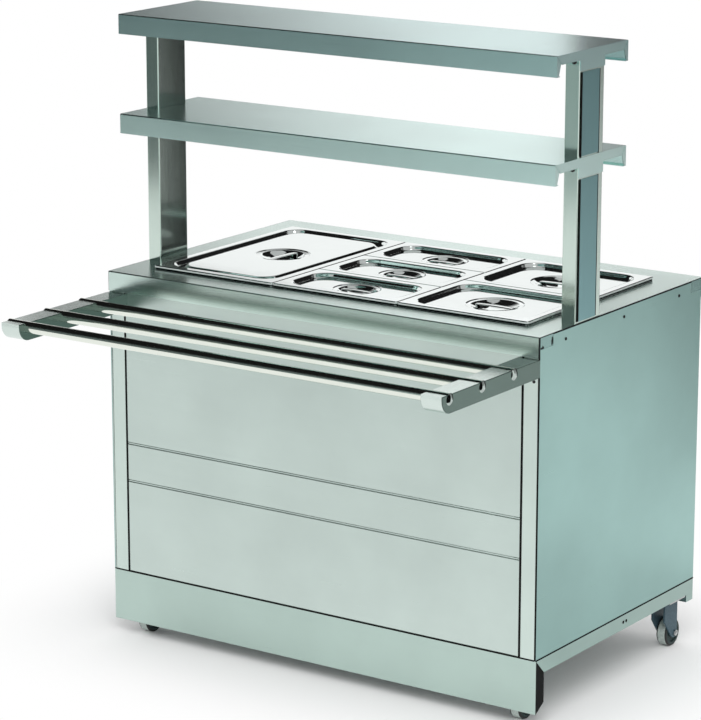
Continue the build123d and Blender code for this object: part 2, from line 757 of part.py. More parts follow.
def caster_fork(x, y, trail_way):
    """One swivel fork: round head on the king pin, hood over the wheel and the axle between its cheeks."""
    axle_y = y + trail_way * caster_trail
    slot_half = wheel_width / 2 + wheel_gap
    fork_half = slot_half + cheek
    crown = axle_height + wheel_radius + wheel_crown_gap
    with BuildPart() as fork:
        with BuildSketch(Plane.YZ.offset(x - fork_half)):
            with BuildLine():
                Polyline(
                    (y - trail_way * swivel_disc_radius, disc_under),
                    (y + trail_way * (caster_trail + cheek_foot), disc_under),
                    (y + trail_way * (caster_trail + cheek_foot), axle_height - cheek_foot),
                    (y + trail_way * (caster_trail - cheek_foot), axle_height - cheek_foot),
                    (y - trail_way * swivel_disc_radius, crown),
                    close=True,
                )
            make_face()
        extrude(amount=2 * fork_half)
        with Locations((x, y, disc_under)):
            Cylinder(swivel_disc_radius, swivel_disc_height, align=(Align.CENTER, Align.CENTER, Align.MIN))
        reach = 2 * (swivel_disc_radius + caster_trail)
        slab((x - slot_half, x + slot_half), (y - reach, y + reach), (0, crown), Mode.SUBTRACT)
        with Locations((x, y, crown)):
            Cylinder(king_pin_radius + running_gap, 2 * plate_under, mode=Mode.SUBTRACT)
        with Locations(Location((x, axle_y, axle_height), (0, 90, 0))):
            Cylinder(axle_radius, 2 * fork_half)
    return fork.part


def caster_wheel(x, y, trail_way):
    """One wheel: rounded tread, recessed sides round the hub and a bore on the axle."""
    with BuildPart() as wheel:
        with Locations(Location((x, y + trail_way * caster_trail, axle_height), (0, 90, 0))):
            Cylinder(wheel_radius, wheel_width)
        fillet(wheel.edges().filter_by(GeomType.CIRCLE), wheel_edge)
        for face in (-wheel_width / 2, wheel_width / 2):
            with Locations(Location((x + face, y + trail_way * caster_trail, axle_height), (0, 90, 0))):
                Cylinder(hub_recess_radius, 2 * hub_recess_depth, mode=Mode.SUBTRACT)
        with Locations(Location((x, y + trail_way * caster_trail, axle_height), (0, 90, 0))):
            Cylinder(hub_radius, wheel_width)
            Cylinder(axle_radius + running_gap, wheel_width, mode=Mode.SUBTRACT)
    return wheel.part


# Swivel forks and wheels
for place, spot in caster_places.items():
    write(caster_fork(*spot), f"caster_fork_{place}")
    write(caster_wheel(*spot), f"caster_wheel_{place}")

# Control panel at the operator side, folded along its bottom edge, with its cut-outs
control_under = control_height - control_foot
control_back = control_face - sheet
control_half = half_width - 2 * sheet
out_of_panel = (-90, 0, 0)
with BuildPart() as control_panel:
    slab((-control_half, control_half), (control_back, control_face), (control_under, worktop_under))
    slab((-control_half, control_half), (control_back - control_fold, control_back),
         (control_under, control_under + sheet))
    for hole_x, hole_radius in ((knob_place, spindle_radius), (lamp_place, lamp_radius),
                                (gland_place, gland_thread_radius)):
        with Locations(Location((hole_x, control_face, control_height), out_of_panel)):
            Cylinder(hole_radius + assembly_gap, 4 * sheet, mode=Mode.SUBTRACT)
    cutout_x = switch_width / 2 + assembly_gap
    cutout_z = switch_height / 2 + assembly_gap
    slab((switch_place - cutout_x, switch_place + cutout_x), (control_back, control_face),
         (control_height - cutout_z, control_height + cutout_z), Mode.SUBTRACT)
write(control_panel.part, "control_panel")

# Thermostat: body behind the panel, spindle through it
with BuildPart() as thermostat_body:
    with Locations((knob_place, control_back - thermostat_depth / 2, control_height)):
        Box(thermostat_size, thermostat_depth, thermostat_size)
    with Locations(Location((knob_place, control_back, control_height), out_of_panel)):
        Cylinder(spindle_radius, spindle_length + sheet, align=(Align.CENTER, Align.CENTER, Align.MIN))
write(thermostat_body.part, "thermostat_body")

# Thermostat knob, with a pointer ridge across its face
with BuildPart() as thermostat_knob:
    with Locations(Location((knob_place, control_face + knob_gap, control_height), out_of_panel)):
        Cylinder(knob_radius, knob_height - knob_cap, align=(Align.CENTER, Align.CENTER, Align.MIN))
    fillet(thermostat_knob.faces().sort_by(Axis.Y)[-1].edges(), knob_edge)
    slab((knob_place - knob_ridge / 2, knob_place + knob_ridge / 2),
         (control_face + knob_gap, control_face + knob_gap + knob_height),
         (control_height - knob_radius + knob_cap, control_height + knob_radius - knob_gap))
    with Locations(Location((knob_place, control_face, control_height), out_of_panel)):
        Cylinder(spindle_radius + running_gap, spindle_length + running_gap,
                 align=(Align.CENTER, Align.CENTER, Align.MIN), mode=Mode.SUBTRACT)
write(thermostat_knob.part, "thermostat_knob")

# Switch: body clipped into the panel, with a bezel, a pocket and the pivot pin of the rocker
pocket_half_x = switch_width / 2 - sheet
pocket_half_z = switch_height / 2 - sheet
bezel_face = control_face + switch_bezel
rocker_pivot = bezel_face - rocker_depth
with BuildPart() as switch_body:
    with Locations((switch_place, control_face - switch_depth / 2, control_height)):
        Box(switch_width, switch_depth, switch_height)
    with Locations((switch_place, control_face + switch_bezel / 2, control_height)):
        Box(switch_width + 2 * switch_bezel_lip, switch_bezel, switch_height + 2 * switch_bezel_lip)
    pocket_x = (switch_place - pocket_half_x, switch_place + pocket_half_x)
    pocket_z = (control_height - pocket_half_z, control_height + pocket_half_z)
    slab(pocket_x, (bezel_face - rocker_pocket, bezel_face), pocket_z, Mode.SUBTRACT)
    with Locations(Location((switch_place, rocker_pivot, control_height), (0, 90, 0))):
        Cylinder(rocker_pin_radius, 2 * pocket_half_x)
write(switch_body.part, "switch_body")

# Rocker: a shallow wedge on the pivot pin, drawn tipped to its off side
tipped = (0, cos(radians(rocker_tilt)), sin(radians(rocker_tilt)))
rocker_plane = Plane(origin=(switch_place, rocker_pivot, control_height), x_dir=tipped, z_dir=(1, 0, 0))
rocker_half = pocket_half_z - 2 * rocker_gap
with BuildPart() as power_rocker:
    with BuildSketch(rocker_plane):
        with BuildLine():
            Polyline(
                (rocker_depth + rocker_gap, -rocker_half),
                (rocker_depth - rocker_gap, 0),
                (rocker_depth + rocker_gap, rocker_half),
                (0, rocker_half),
                (-2 * rocker_pin_radius, 2 * rocker_pin_radius),
                (-2 * rocker_pin_radius, -2 * rocker_pin_radius),
                (0, -rocker_half),
                close=True,
            )
        make_face()
        Circle(rocker_pin_radius + running_gap, mode=Mode.SUBTRACT)
    extrude(amount=pocket_half_x - rocker_gap, both=True)
write(power_rocker.part, "power_rocker")

# Pilot lamp: barrel through the panel with a bezel and a domed lens
with BuildPart() as pilot_lamp:
    with Locations(Location((lamp_place, control_face, control_height), out_of_panel)):
        Cylinder(lamp_radius, lamp_depth, align=(Align.CENTER, Align.CENTER, Align.MAX))
        Cylinder(lamp_bezel_radius, lamp_bezel, align=(Align.CENTER, Align.CENTER, Align.MIN))
    with Locations(Location((lamp_place, control_face + lamp_bezel, control_height), out_of_panel)):
        Cone(lamp_radius, lamp_radius / 2, lamp_bezel, align=(Align.CENTER, Align.CENTER, Align.MIN))
write(pilot_lamp.part, "pilot_lamp")

# Cable gland: threaded body through the panel, hexagon and dome outside, lock nut inside
with BuildPart() as cable_gland:
    with Locations(Location((gland_place, control_back - gland_nut, control_height), out_of_panel)):
        Cylinder(gland_thread_radius, gland_nut + sheet + gland_hex + gland_dome,
                 align=(Align.CENTER, Align.CENTER, Align.MIN))
    for start, thickness in ((control_back - gland_nut, gland_nut), (control_face, gland_hex)):
        with BuildSketch(Plane(origin=(gland_place, start, control_height), z_dir=(0, 1, 0))):
            RegularPolygon(gland_hex_radius, 6)
        extrude(amount=thickness)
    with Locations(Location((gland_place, control_face + gland_hex, control_height), out_of_panel)):
        Cone(gland_hex_radius - sheet, gland_thread_radius, gland_dome,
             align=(Align.CENTER, Align.CENTER, Align.MIN))
    with Locations(Location((gland_place, control_face, control_height), out_of_panel)):
        Cylinder(gland_bore, 4 * gland_dome, mode=Mode.SUBTRACT)
write(cable_gland.part, "cable_gland")

# Heating element: one tube in long runs under the tank floor
element_height = tank_under - assembly_gap - element_radius
element_rows = [pans_middle + (n - (element_runs - 1) / 2) * element_pitch for n in range(element_runs)]
element_route = []
for number, row in enumerate(element_rows):
    ends = (-element_run / 2, element_run / 2)
    first, second = ends if number % 2 == 0 else ends[::-1]
    element_route += [(first, row, element_height), (second, row, element_height)]
with BuildPart() as heating_element:
    with BuildLine():
        route = FilletPolyline(*element_route, radius=element_bend * element_pitch)
    with BuildSketch(Plane(origin=route @ 0, z_dir=route % 0)):
        Circle(element_radius)
    sweep()
write(heating_element.part, "heating_element")

# Element clamps: small bridges under the tank floor, two over each run
with BuildPart() as element_clamps:
    clamp_drop = assembly_gap + 2 * element_radius + assembly_gap + clamp_wall
    with Locations((0, pans_middle, tank_under)):
        with GridLocations(clamp_spread, element_pitch, 2, element_runs):
            Box(clamp_length, clamp_width, clamp_drop, align=(Align.CENTER, Align.CENTER, Align.MAX))
            Box(clamp_length, 2 * (element_radius + assembly_gap), clamp_drop - clamp_wall,
                align=(Align.CENTER, Align.CENTER, Align.MAX), mode=Mode.SUBTRACT)
write(element_clamps.part, "element_clamps")

# Drain pipe welded into the tank floor
with BuildPart() as drain_pipe:
    with Locations((drain_place, drain_y, tank_floor)):
        Cylinder(drain_pipe_radius, drain_pipe_drop, align=(Align.CENTER, Align.CENTER, Align.MAX))
        Cylinder(drain_pipe_bore, drain_pipe_drop,
                 align=(Align.CENTER, Align.CENTER, Align.MAX), mode=Mode.SUBTRACT)
write(drain_pipe.part, "drain_pipe")

# Drain valve: upright body under the pipe, spout towards the operator, stem for the lever
valve_top = tank_floor - drain_pipe_drop
valve_middle = valve_top - valve_height / 2
with BuildPart() as drain_valve:
    with Locations((drain_place, drain_y, valve_top)):
        Cylinder(valve_radius, valve_height, align=(Align.CENTER, Align.CENTER, Align.MAX))
    with Locations(Location((drain_place, drain_y, valve_middle), out_of_panel)):
        Cylinder(valve_spout_radius, valve_reach, align=(Align.CENTER, Align.CENTER, Align.MIN))
    with Locations(Location((drain_place, drain_y, valve_middle), (0, 90, 0))):
        Cylinder(stem_radius, valve_radius + stem_length, align=(Align.CENTER, Align.CENTER, Align.MIN))
    with Locations(Location((drain_place, drain_y, valve_middle), out_of_panel)):
        Cylinder(valve_bore, valve_reach, align=(Align.CENTER, Align.CENTER, Align.MIN),
                 mode=Mode.SUBTRACT)
    with Locations((drain_place, drain_y, valve_top)):
        Cylinder(valve_bore, valve_height / 2, align=(Align.CENTER, Align.CENTER, Align.MAX),
                 mode=Mode.SUBTRACT)
write(drain_valve.part, "drain_valve")

# Drain lever: a flat bar on the stem, hanging down when the valve is shut
lever_start = drain_place + valve_radius + stem_length - lever_gauge
with BuildPart() as drain_lever:
    with BuildSketch(Plane.YZ.offset(lever_start)):
        with Locations((drain_y, valve_middle - lever_length / 2 + lever_width / 2)):
            SlotOverall(lever_length, lever_width, rotation=90)
        with Locations((drain_y, valve_middle)):
            Circle(stem_radius + running_gap, mode=Mode.SUBTRACT)
    extrude(amount=lever_gauge)
write(drain_lever.part, "drain_lever")
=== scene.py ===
"""Looks of a mobile bain-marie serving counter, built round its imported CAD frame."""

from math import asin, cos, pi, radians, sin

import bmesh
import bpy
from mathutils import Matrix, Vector


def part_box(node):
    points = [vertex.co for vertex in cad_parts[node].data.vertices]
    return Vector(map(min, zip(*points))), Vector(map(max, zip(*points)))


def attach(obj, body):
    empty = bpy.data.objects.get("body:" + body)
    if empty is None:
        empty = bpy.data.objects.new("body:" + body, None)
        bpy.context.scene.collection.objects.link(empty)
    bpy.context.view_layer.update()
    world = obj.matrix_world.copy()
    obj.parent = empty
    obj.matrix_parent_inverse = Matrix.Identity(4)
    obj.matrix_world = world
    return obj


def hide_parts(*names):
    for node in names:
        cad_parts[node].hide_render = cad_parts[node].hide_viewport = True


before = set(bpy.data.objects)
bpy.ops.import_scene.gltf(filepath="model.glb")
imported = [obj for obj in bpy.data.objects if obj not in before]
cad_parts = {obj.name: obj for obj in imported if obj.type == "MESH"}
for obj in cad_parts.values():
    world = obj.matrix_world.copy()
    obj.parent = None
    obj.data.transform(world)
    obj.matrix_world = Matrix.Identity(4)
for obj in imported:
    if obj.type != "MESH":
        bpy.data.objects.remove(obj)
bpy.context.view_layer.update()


# Base frame: channels of satin stainless sheet, folded and welded into a ring under the cabinet.
# The side rails are mitred at the front, where the kick plate closes them, and carry the casters.
def new_finish(name, metal=0.0, shine=0.5):
    """A new material with its node tree, its main shader and the place of each point on the object."""
    material = bpy.data.materials.new(name)
    material.use_nodes = True
    tree = material.node_tree
    shader = tree.nodes["Principled BSDF"]
    shader.inputs["Metallic"].default_value = metal
    shader.inputs["Specular IOR Level"].default_value = shine
    return material, tree, shader, add_node(tree, "TexCoord").outputs["Object"]


def feed(tree, socket, value):
    """Set a socket to a constant, or link another node's output to it."""
    if isinstance(value, bpy.types.NodeSocket):
        tree.links.new(value, socket)
    else:
        socket.default_value = value


def add_node(tree, kind, settings=None, **inputs):
    """Add a shader node with its settings, and feed its inputs by name."""
    node = tree.nodes.new(f"ShaderNode{kind}")
    for name, value in (settings or {}).items():
        setattr(node, name, value)
    for name, value in inputs.items():
        feed(tree, node.inputs[name.replace("_", " ")], value)
    return node


def reckon(tree, kind, value, *steps):
    """Send a value through a row of Math or VectorMath nodes, each an operation with its other operands."""
    for operation, *operands in steps:
        node = add_node(tree, kind, {"operation": operation})
        for socket, operand in zip(node.inputs, (value, *operands)):
            feed(tree, socket, operand)
        is_number = kind == "Math" or operation in ("LENGTH", "DOT_PRODUCT")
        value = node.outputs["Value" if is_number else "Vector"]
    return value


def noise(tree, place, scale, detail=2.0):
    """A cloudy pattern of a given scale and detail."""
    return add_node(tree, "TexNoise", Vector=place, Scale=scale, Detail=detail).outputs["Fac"]


def tones_of(tint, darker, lighter):
    """A darker and a lighter tone of a tint."""
    return [darker * c for c in tint], [min(1.0, lighter * c) for c in tint]


def two_tones(tree, pattern, dark, light, start=0.0, end=1.0):
    """A colour that goes from a dark to a light tone as a pattern rises from a start to an end value."""
    ramp = add_node(tree, "ValToRGB", Fac=pattern)
    first, last = ramp.color_ramp.elements
    first.position, first.color = start, (*dark, 1)
    last.position, last.color = end, (*light, 1)
    return ramp.outputs["Color"]


def tinted_where(tree, mask, colour, tint):
    """A colour that is multiplied by a tint where a mask is 1."""
    settings = {"data_type": "RGBA", "blend_type": "MULTIPLY"}
    return add_node(tree, "Mix", settings, Factor=mask, A=colour, B=(*tint, 1)).outputs["Result"]


def lay_finish(tree, shader, colour, pattern, least_rough, most_rough, relief=0.0, relief_depth=0.0):
    """Give a shader its colour, and let its roughness, and any relief, follow a pattern."""
    feed(tree, shader.inputs["Base Color"], colour)
    rough = add_node(tree, "MapRange", Value=pattern, To_Min=least_rough, To_Max=most_rough)
    feed(tree, shader.inputs["Roughness"], rough.outputs["Result"])
    if relief:
        bumps = add_node(tree, "Bump", Height=pattern, Strength=relief, Distance=relief_depth)
        feed(tree, shader.inputs["Normal"], bumps.outputs["Normal"])


def satin_steel(name, tint, grain, roughness=0.3, flanks=None):
    """Stainless sheet with a fine directional grain, faint clouds in its colour and an uneven polish.

    Flanks give another tint, a painted shade, to what lies farther than a distance from a place across the
    counter."""
    darker, lighter, uneven, relief, relief_depth = 0.93, 1.04, 0.05, 0.04, 0.0004
    material, tree, shader, place = new_finish(name, metal=1.0)
    stretched = add_node(tree, "Mapping", Vector=place, Scale=grain).outputs["Vector"]
    scratches = noise(tree, stretched, scale=1.0, detail=3.0)
    clouds = noise(tree, place, scale=4.0, detail=4.0)
    colour = two_tones(tree, clouds, *tones_of(tint, darker, lighter), start=0.3, end=0.7)
    if flanks:
        middle, distance, flank_tint = flanks
        across = add_node(tree, "SeparateXYZ", Vector=place).outputs["X"]
        far = reckon(tree, "Math", across, ("ABSOLUTE",), ("SUBTRACT", middle), ("ABSOLUTE",),
                     ("GREATER_THAN", distance))
        colour = tinted_where(tree, far, colour, flank_tint)
    lay_finish(tree, shader, colour, scratches, roughness - uneven, roughness + uneven, relief, relief_depth)
    return material


def dress(material, *nodes):
    """Give carried-over CAD pieces their finish."""
    for node in nodes:
        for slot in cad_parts[node].material_slots:
            slot.material = material


grain_along_x = (5, 500, 500)
grain_along_y = (500, 5, 500)
grain_along_z = (500, 500, 5)
# The base steel is tinted darker than the front panels: painted shade on the rails.
base_steel = satin_steel("base_steel", (0.42, 0.56, 0.52), grain_along_y)
dress(base_steel, "base_side_rails", "base_rear_rail", "base_front_rail")

# Base shelf: the floor of the storage space, one satin sheet laid on the rails.
# Its front lip stops stored pans from sliding against the front panels.
dress(satin_steel("deck_steel", (0.62, 0.68, 0.67), grain_along_x, 0.32), "base_shelf")

# Kick plate: a satin sheet folded back along its bottom edge, fixed across the front of the base.
# It hides the front wheels down to two fingers above the floor.
# The kick plate's steel is tinted darker than the front panels: painted shade.
dress(satin_steel("kick_steel", (0.5, 0.63, 0.58), grain_along_x), "kick_plate")


# Kick plate caps: black moulded blocks pushed in behind the ends of the kick plate.
# They close the mitres of the side rails and are clipped in without screws. Their black also stands in
# for the shade at the ends of the kick plate: painted shade.
def mottled(name, dark, light, grain, roughness=0.5, relief=0.1, metal=0.0, shine=0.5):
    """A finish of two close tones in small spots, with polish and relief that follow the spots."""
    uneven, relief_depth = 0.08, 0.0003
    material, tree, shader, place = new_finish(name, metal, shine)
    spots = noise(tree, place, grain, detail=4.0)
    colour = two_tones(tree, spots, dark, light, start=0.35, end=0.65)
    lay_finish(tree, shader, colour, spots, roughness - uneven, roughness + uneven, relief, relief_depth)
    return material


black_plastic = mottled("black_plastic", (0.003, 0.003, 0.003), (0.007, 0.007, 0.007), 900, 0.5, 0.15,
                        shine=0.06)
dress(black_plastic, "kick_plate_caps")

# Caster plates: zinc-plated steel plates welded under the side rails.
# The king pin that each fork turns on is riveted into its plate.
zinc_plate = mottled("zinc_plate", (0.46, 0.48, 0.49), (0.62, 0.63, 0.62), 160, 0.38, 0.05, metal=1.0)
dress(zinc_plate, "caster_plates")


# Caster forks: pressed steel with a blue-grey paint, two tapered cheeks under a round swivel head.
# The axle bolt goes through both cheeks, with a plated nut on each side.
def let_go():
    """Deselect all objects."""
    bpy.ops.object.select_all(action="DESELECT")


def take_all():
    """Select all of the piece that is open."""
    bpy.ops.mesh.select_all(action="SELECT")


def choose(*pieces):
    """Select some pieces and nothing else, the first of them as the active one."""
    let_go()
    for piece in pieces:
        piece.select_set(True)
    bpy.context.view_layer.objects.active = pieces[0]


def edit(piece):
    """Open one piece in edit mode with nothing selected."""
    choose(piece)
    bpy.ops.object.mode_set(mode="EDIT")
    bpy.ops.mesh.select_mode(type="VERT")
    bpy.ops.mesh.select_all(action="DESELECT")


def pick(piece, edges=None, faces=None):
    """Select the edges or the faces of an open piece that pass a test, and nothing else."""
    live = bmesh.from_edit_mesh(piece.data)
    bpy.ops.mesh.select_mode(type="EDGE" if edges else "FACE")
    bpy.ops.mesh.select_all(action="DESELECT")
    for part in live.edges if edges else live.faces:
        if (edges or faces)(part):
            part.select_set(True)
    live.select_flush_mode()
    bmesh.update_edit_mesh(piece.data)


merge_distance, sharp_angle = 0.00001, 0.6


def close_piece(piece, angle=30):
    """Merge doubles, leave edit mode and shade the piece smooth up to an angle."""
    take_all()
    bpy.ops.mesh.remove_doubles(threshold=merge_distance)
    bpy.ops.object.mode_set(mode="OBJECT")
    bpy.ops.object.shade_smooth_by_angle(angle=radians(angle))


def is_sharp(edge):
    """Whether two faces meet at an edge with a clear corner."""
    return edge.calc_face_angle(0) > sharp_angle


def round_edges(piece, width, steps=2, test=is_sharp):
    """Round the edges of a piece that pass a test."""
    edit(piece)
    pick(piece, edges=test)
    bpy.ops.mesh.bevel(offset=width, segments=steps)
    close_piece(piece)


def paint_piece(piece, material):
    """Give a modelled piece one finish."""
    piece.data.materials.clear()
    piece.data.materials.append(material)
    return piece


def take_up(name, material, width, steps):
    """Name the primitive that was just added, put its place in its mesh, and round and paint it."""
    bpy.ops.object.transform_apply()
    piece = bpy.context.object
    piece.name = name
    if width:
        round_edges(piece, width, steps)
    return paint_piece(piece, material)


def start_block(name, low, high, material, width=0, steps=2):
    """Add a block between two corners as a new piece, its edges rounded where a width is given."""
    low, high = Vector(low), Vector(high)
    let_go()
    bpy.ops.mesh.primitive_cube_add(size=1, location=(low + high) / 2, scale=high - low)
    return take_up(name, material, width, steps)


def start_bar(name, radius, start, end, material, width=0, steps=2, sides=24):
    """Add a round or many-sided bar between two points as a new piece, rounded in the same way."""
    start, end = Vector(start), Vector(end)
    turn = (end - start).to_track_quat("Z", "Y").to_euler()
    let_go()
    bpy.ops.mesh.primitive_cylinder_add(
        vertices=sides, radius=radius, depth=(end - start).length, location=(start + end) / 2, rotation=turn)
    return take_up(name, material, width, steps)


def join_pieces(name, pieces):
    """Join modelled parts into one piece."""
    choose(*pieces)
    bpy.ops.object.join()
    pieces[0].name = name
    return pieces[0]


def twin_of(piece, name, move):
    """A copy of a modelled piece with its own mesh, moved by a matrix."""
    twin = bpy.data.objects.new(name, piece.data.copy())
    twin.data.transform(move)
    bpy.context.collection.objects.link(twin)
    return twin


def stand_for(piece, node, body):
    """Let a finished piece replace a CAD node and move with a body."""
    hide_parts(node)
    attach(piece, body)


def on_axle(x):
    """A point on the axle of the rear right wheel."""
    return Vector((x, axle.y, axle.z))


fork_low, fork_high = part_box("caster_fork_rear_right")
wheel_low, wheel_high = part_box("caster_wheel_rear_right")
axle = (wheel_low + wheel_high) / 2
head_radius = (fork_high.x - fork_low.x) / 2
head_height, head_round, groove_border, groove_depth = 0.007, 0.001, 0.0015, 0.0012
head_under = fork_high.z - head_height
swivel = Vector((axle.x, fork_low.y + head_radius, 0))
cheek_gap, cheek_gauge, cheek_round = 0.0005, 0.004, 0.0008
half_gap = (wheel_high.x - wheel_low.x) / 2 + cheek_gap
foot_half, foot_round, foot_near, crown_rise = 0.011, 0.009, 0.0005, 0.005
level_near, level_slope = 0.0001, 0.1
crown = wheel_high.z + crown_rise
nut_radius, nut_height, small_round = 0.0075, 0.0045, 0.0006
bolt_end_radius, bolt_end_proud = 0.004, 0.0015
fork_paint = mottled("fork_paint", (0.04, 0.075, 0.095), (0.065, 0.11, 0.135), 300, 0.35, 0.08, shine=0.15)
fork_parts = []
for side in (-1, 1):
    inner = axle.x + side * half_gap
    outer = inner + side * cheek_gauge
    nut_end = outer + side * nut_height
    cheek = start_block("cheek", (min(inner, outer), fork_low.y, fork_low.z),
                        (max(inner, outer), fork_high.y, head_under), fork_paint)
    edit(cheek)
    take_all()
    bpy.ops.mesh.bisect(plane_co=(0, axle.y - foot_half, fork_low.z),
                        plane_no=(0, fork_low.z - crown, fork_low.y - axle.y + foot_half),
                        use_fill=True, clear_outer=True)
    bpy.ops.object.mode_set(mode="OBJECT")
    round_edges(cheek, foot_round, steps=6,
                test=lambda e: all(v.co.z < fork_low.z + foot_near for v in e.verts)
                and abs(e.verts[0].co.y - e.verts[1].co.y) < level_near)
    round_edges(cheek, cheek_round)
    nut = start_bar("axle_nut", nut_radius, on_axle(outer), on_axle(nut_end), zinc_plate, small_round,
                    sides=6)
    bolt_end = start_bar("axle_end", bolt_end_radius, on_axle(nut_end),
                         on_axle(nut_end + side * bolt_end_proud), zinc_plate, small_round)
    fork_parts += [cheek, nut, bolt_end]
bridge = start_block("fork_bridge", (axle.x - half_gap, fork_low.y, head_under - cheek_gauge),
                     (axle.x + half_gap, fork_high.y, head_under), fork_paint, small_round)
head = start_bar("swivel_head", head_radius, (swivel.x, swivel.y, head_under),
                 (swivel.x, swivel.y, fork_high.z), fork_paint, head_round, sides=64)
edit(head)
pick(head, faces=lambda f: abs(f.normal.z) < level_slope)
bpy.ops.mesh.inset(thickness=groove_border, depth=-groove_depth)
close_piece(head)
caster_fork = join_pieces("swivel_fork_rear_right", fork_parts + [bridge, head])


def caster_move(place):
    """The turn and shift from the rear right caster to another one, whose fork may trail the other way."""
    low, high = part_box(f"caster_fork_{place}")
    trails_back = place.startswith("rear")
    y = low.y + head_radius if trails_back else high.y - head_radius
    turn = Matrix.Rotation(0 if trails_back else pi, 4, "Z")
    return Matrix.Translation(((low.x + high.x) / 2, y, 0)) @ turn @ Matrix.Translation(-swivel)


def set_casters(piece, name, node, body):
    """Copy a piece of the rear right caster to the other three, and let all stand for their CAD nodes."""
    for place in ("front_left", "front_right", "rear_left"):
        twin = twin_of(piece, f"{name}_{place}", caster_move(place))
        stand_for(twin, f"{node}_{place}", f"{body}_{place}")
    stand_for(piece, f"{node}_rear_right", f"{body}_rear_right")


set_casters(caster_fork, "swivel_fork", "caster_fork", "caster")

# Caster wheels: a pale grey rubber tread moulded on a dark plastic core with a raised hub.
# Each runs on the axle bolt between the cheeks of its fork.
wheel_radius, wheel_sides, tread_slope = (wheel_high.z - wheel_low.z) / 2, 72, 0.02
tread_edge, tread_border, tread_step, tread_sink, side_margin = 0.004, 0.0035, 0.0004, 0.0006, 0.0002
core_border, core_step, core_sink, hub_border = 0.005, 0.001, 0.004, 0.011
side_from = axle.x - wheel_low.x - tread_edge - side_margin
tread_rubber = mottled("tread_rubber", (0.36, 0.42, 0.4), (0.47, 0.53, 0.5), 220, 0.6, 0.12)
tyre_edge = mottled("tyre_edge", (0.01, 0.011, 0.011), (0.02, 0.021, 0.021), 300, 0.6, 0.1)
wheel_core = mottled("wheel_core", (0.022, 0.038, 0.038), (0.034, 0.055, 0.053), 260, 0.5, 0.1, shine=0.2)
wheel = start_bar("wheel_piece_rear_right", wheel_radius, on_axle(wheel_low.x), on_axle(wheel_high.x),
                  tread_rubber, tread_edge, steps=4, sides=wheel_sides)
edit(wheel)
pick(wheel, faces=lambda f: abs(f.normal.x) < tread_slope)
bpy.ops.mesh.inset(thickness=tread_border)
bpy.ops.mesh.inset(thickness=tread_step, depth=-tread_sink)
pick(wheel, faces=lambda f: len(f.verts) == wheel_sides)
bpy.ops.mesh.inset(thickness=core_border)
bpy.ops.mesh.inset(thickness=core_step, depth=-core_sink)
bpy.ops.mesh.inset(thickness=hub_border)
bpy.ops.mesh.inset(thickness=core_step, depth=core_sink)
close_piece(wheel)
wheel.data.materials.append(tyre_edge)
wheel.data.materials.append(wheel_core)
for face in wheel.data.polygons:
    on_side = abs(face.center.x - axle.x) > side_from
    from_axle = (face.center.yz - axle.yz).length
    face.material_index = 2 if from_axle < wheel_radius - tread_edge else 1 if on_side else 0
set_casters(wheel, "wheel_piece", "caster_wheel", "wheel")


# Rail hole plugs: small black plugs pushed into the two drain holes in each side rail.
# Their thin heads lie on the face of the rail, and their black stands in for the shade inside the holes:
# painted shade.
def ride_along(piece):
    """Let an added piece move with the cabinet."""
    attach(piece, "cabinet")


hole_radius, hole_pitch, hole_setback, hole_play = 0.0025, 0.013, 0.376, 0.0001
plug_shank, plug_head, plug_head_radius = 0.0015, 0.0006, 0.0036
rail_low, rail_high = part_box("base_side_rails")
hole_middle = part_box("kick_plate")[0].y + hole_setback
plugs = []
for side in (-1, 1):
    outward = Vector((side, 0, 0))
    for row in (hole_middle - hole_pitch / 2, hole_middle + hole_pitch / 2):
        face = Vector((side * rail_high.x, row, (rail_low.z + rail_high.z) / 2))
        plugs.append(start_bar("plug_shank", hole_radius - hole_play, face - outward * plug_shank, face,
                               black_plastic))
        plugs.append(start_bar("plug_head", plug_head_radius, face, face + outward * plug_head,
                               black_plastic, plug_head / 2, sides=32))
ride_along(join_pieces("rail_hole_shade_plugs", plugs))

# Corner posts: box sections folded from satin sheet, welded upright on the base frame.
# A fin on each one backs the edges of the front panels.
# Their steel is tinted lighter than the front panels: painted light.
dress(satin_steel("corner_steel", (0.66, 0.77, 0.72), grain_along_z), "front_corner_posts")

# Front panels: upper panel, middle band and lower panel, satin sheet with all edges folded back.
# They stand before the fins of the corner posts, with narrow seams between them.
front_steel = satin_steel("front_steel", (0.6, 0.7, 0.66), grain_along_x)
dress(front_steel, "front_upper_panel", "front_middle_band", "front_lower_panel")

# Seam strips: thin satin strips behind the two level seams of the front and in the gap at its left corner,
# spot-welded from behind. They lie just under the skin, so that the seams read as fine lines.
upper_low, upper_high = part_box("front_upper_panel")
band_low, band_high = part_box("front_middle_band")
lower_low, lower_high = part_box("front_lower_panel")
post_low, post_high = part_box("front_corner_posts")
side_low, side_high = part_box("right_side_panel")
worktop_low, worktop_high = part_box("worktop")
side_gauge, tab_length, tab_height = 0.0015, 0.055, 0.027
tab_under = worktop_high.z - tab_height
hair = 0.0001
strip_sink, strip_gauge, strip_inset, strip_play, strip_round = 0.0003, 0.001, 0.0005, 0.0002, 0.0002
strip_left, strip_right = upper_low.x + strip_inset, upper_high.x - strip_inset
strip_front = upper_low.y + strip_sink
seam_strips = []
for left, right, foot, top in (
    (strip_left, strip_right, lower_high.z + strip_play, band_low.z - strip_play),
    (strip_left, strip_right, band_high.z + strip_play, upper_low.z - strip_play),
    (side_gauge - side_high.x + hair, -post_high.x - hair, side_low.z, tab_under),
):
    seam_strips.append(start_block("seam_strip", (left, strip_front, foot),
                                   (right, strip_front + strip_gauge, top), front_steel, strip_round))
ride_along(join_pieces("band_seam_strips", seam_strips))


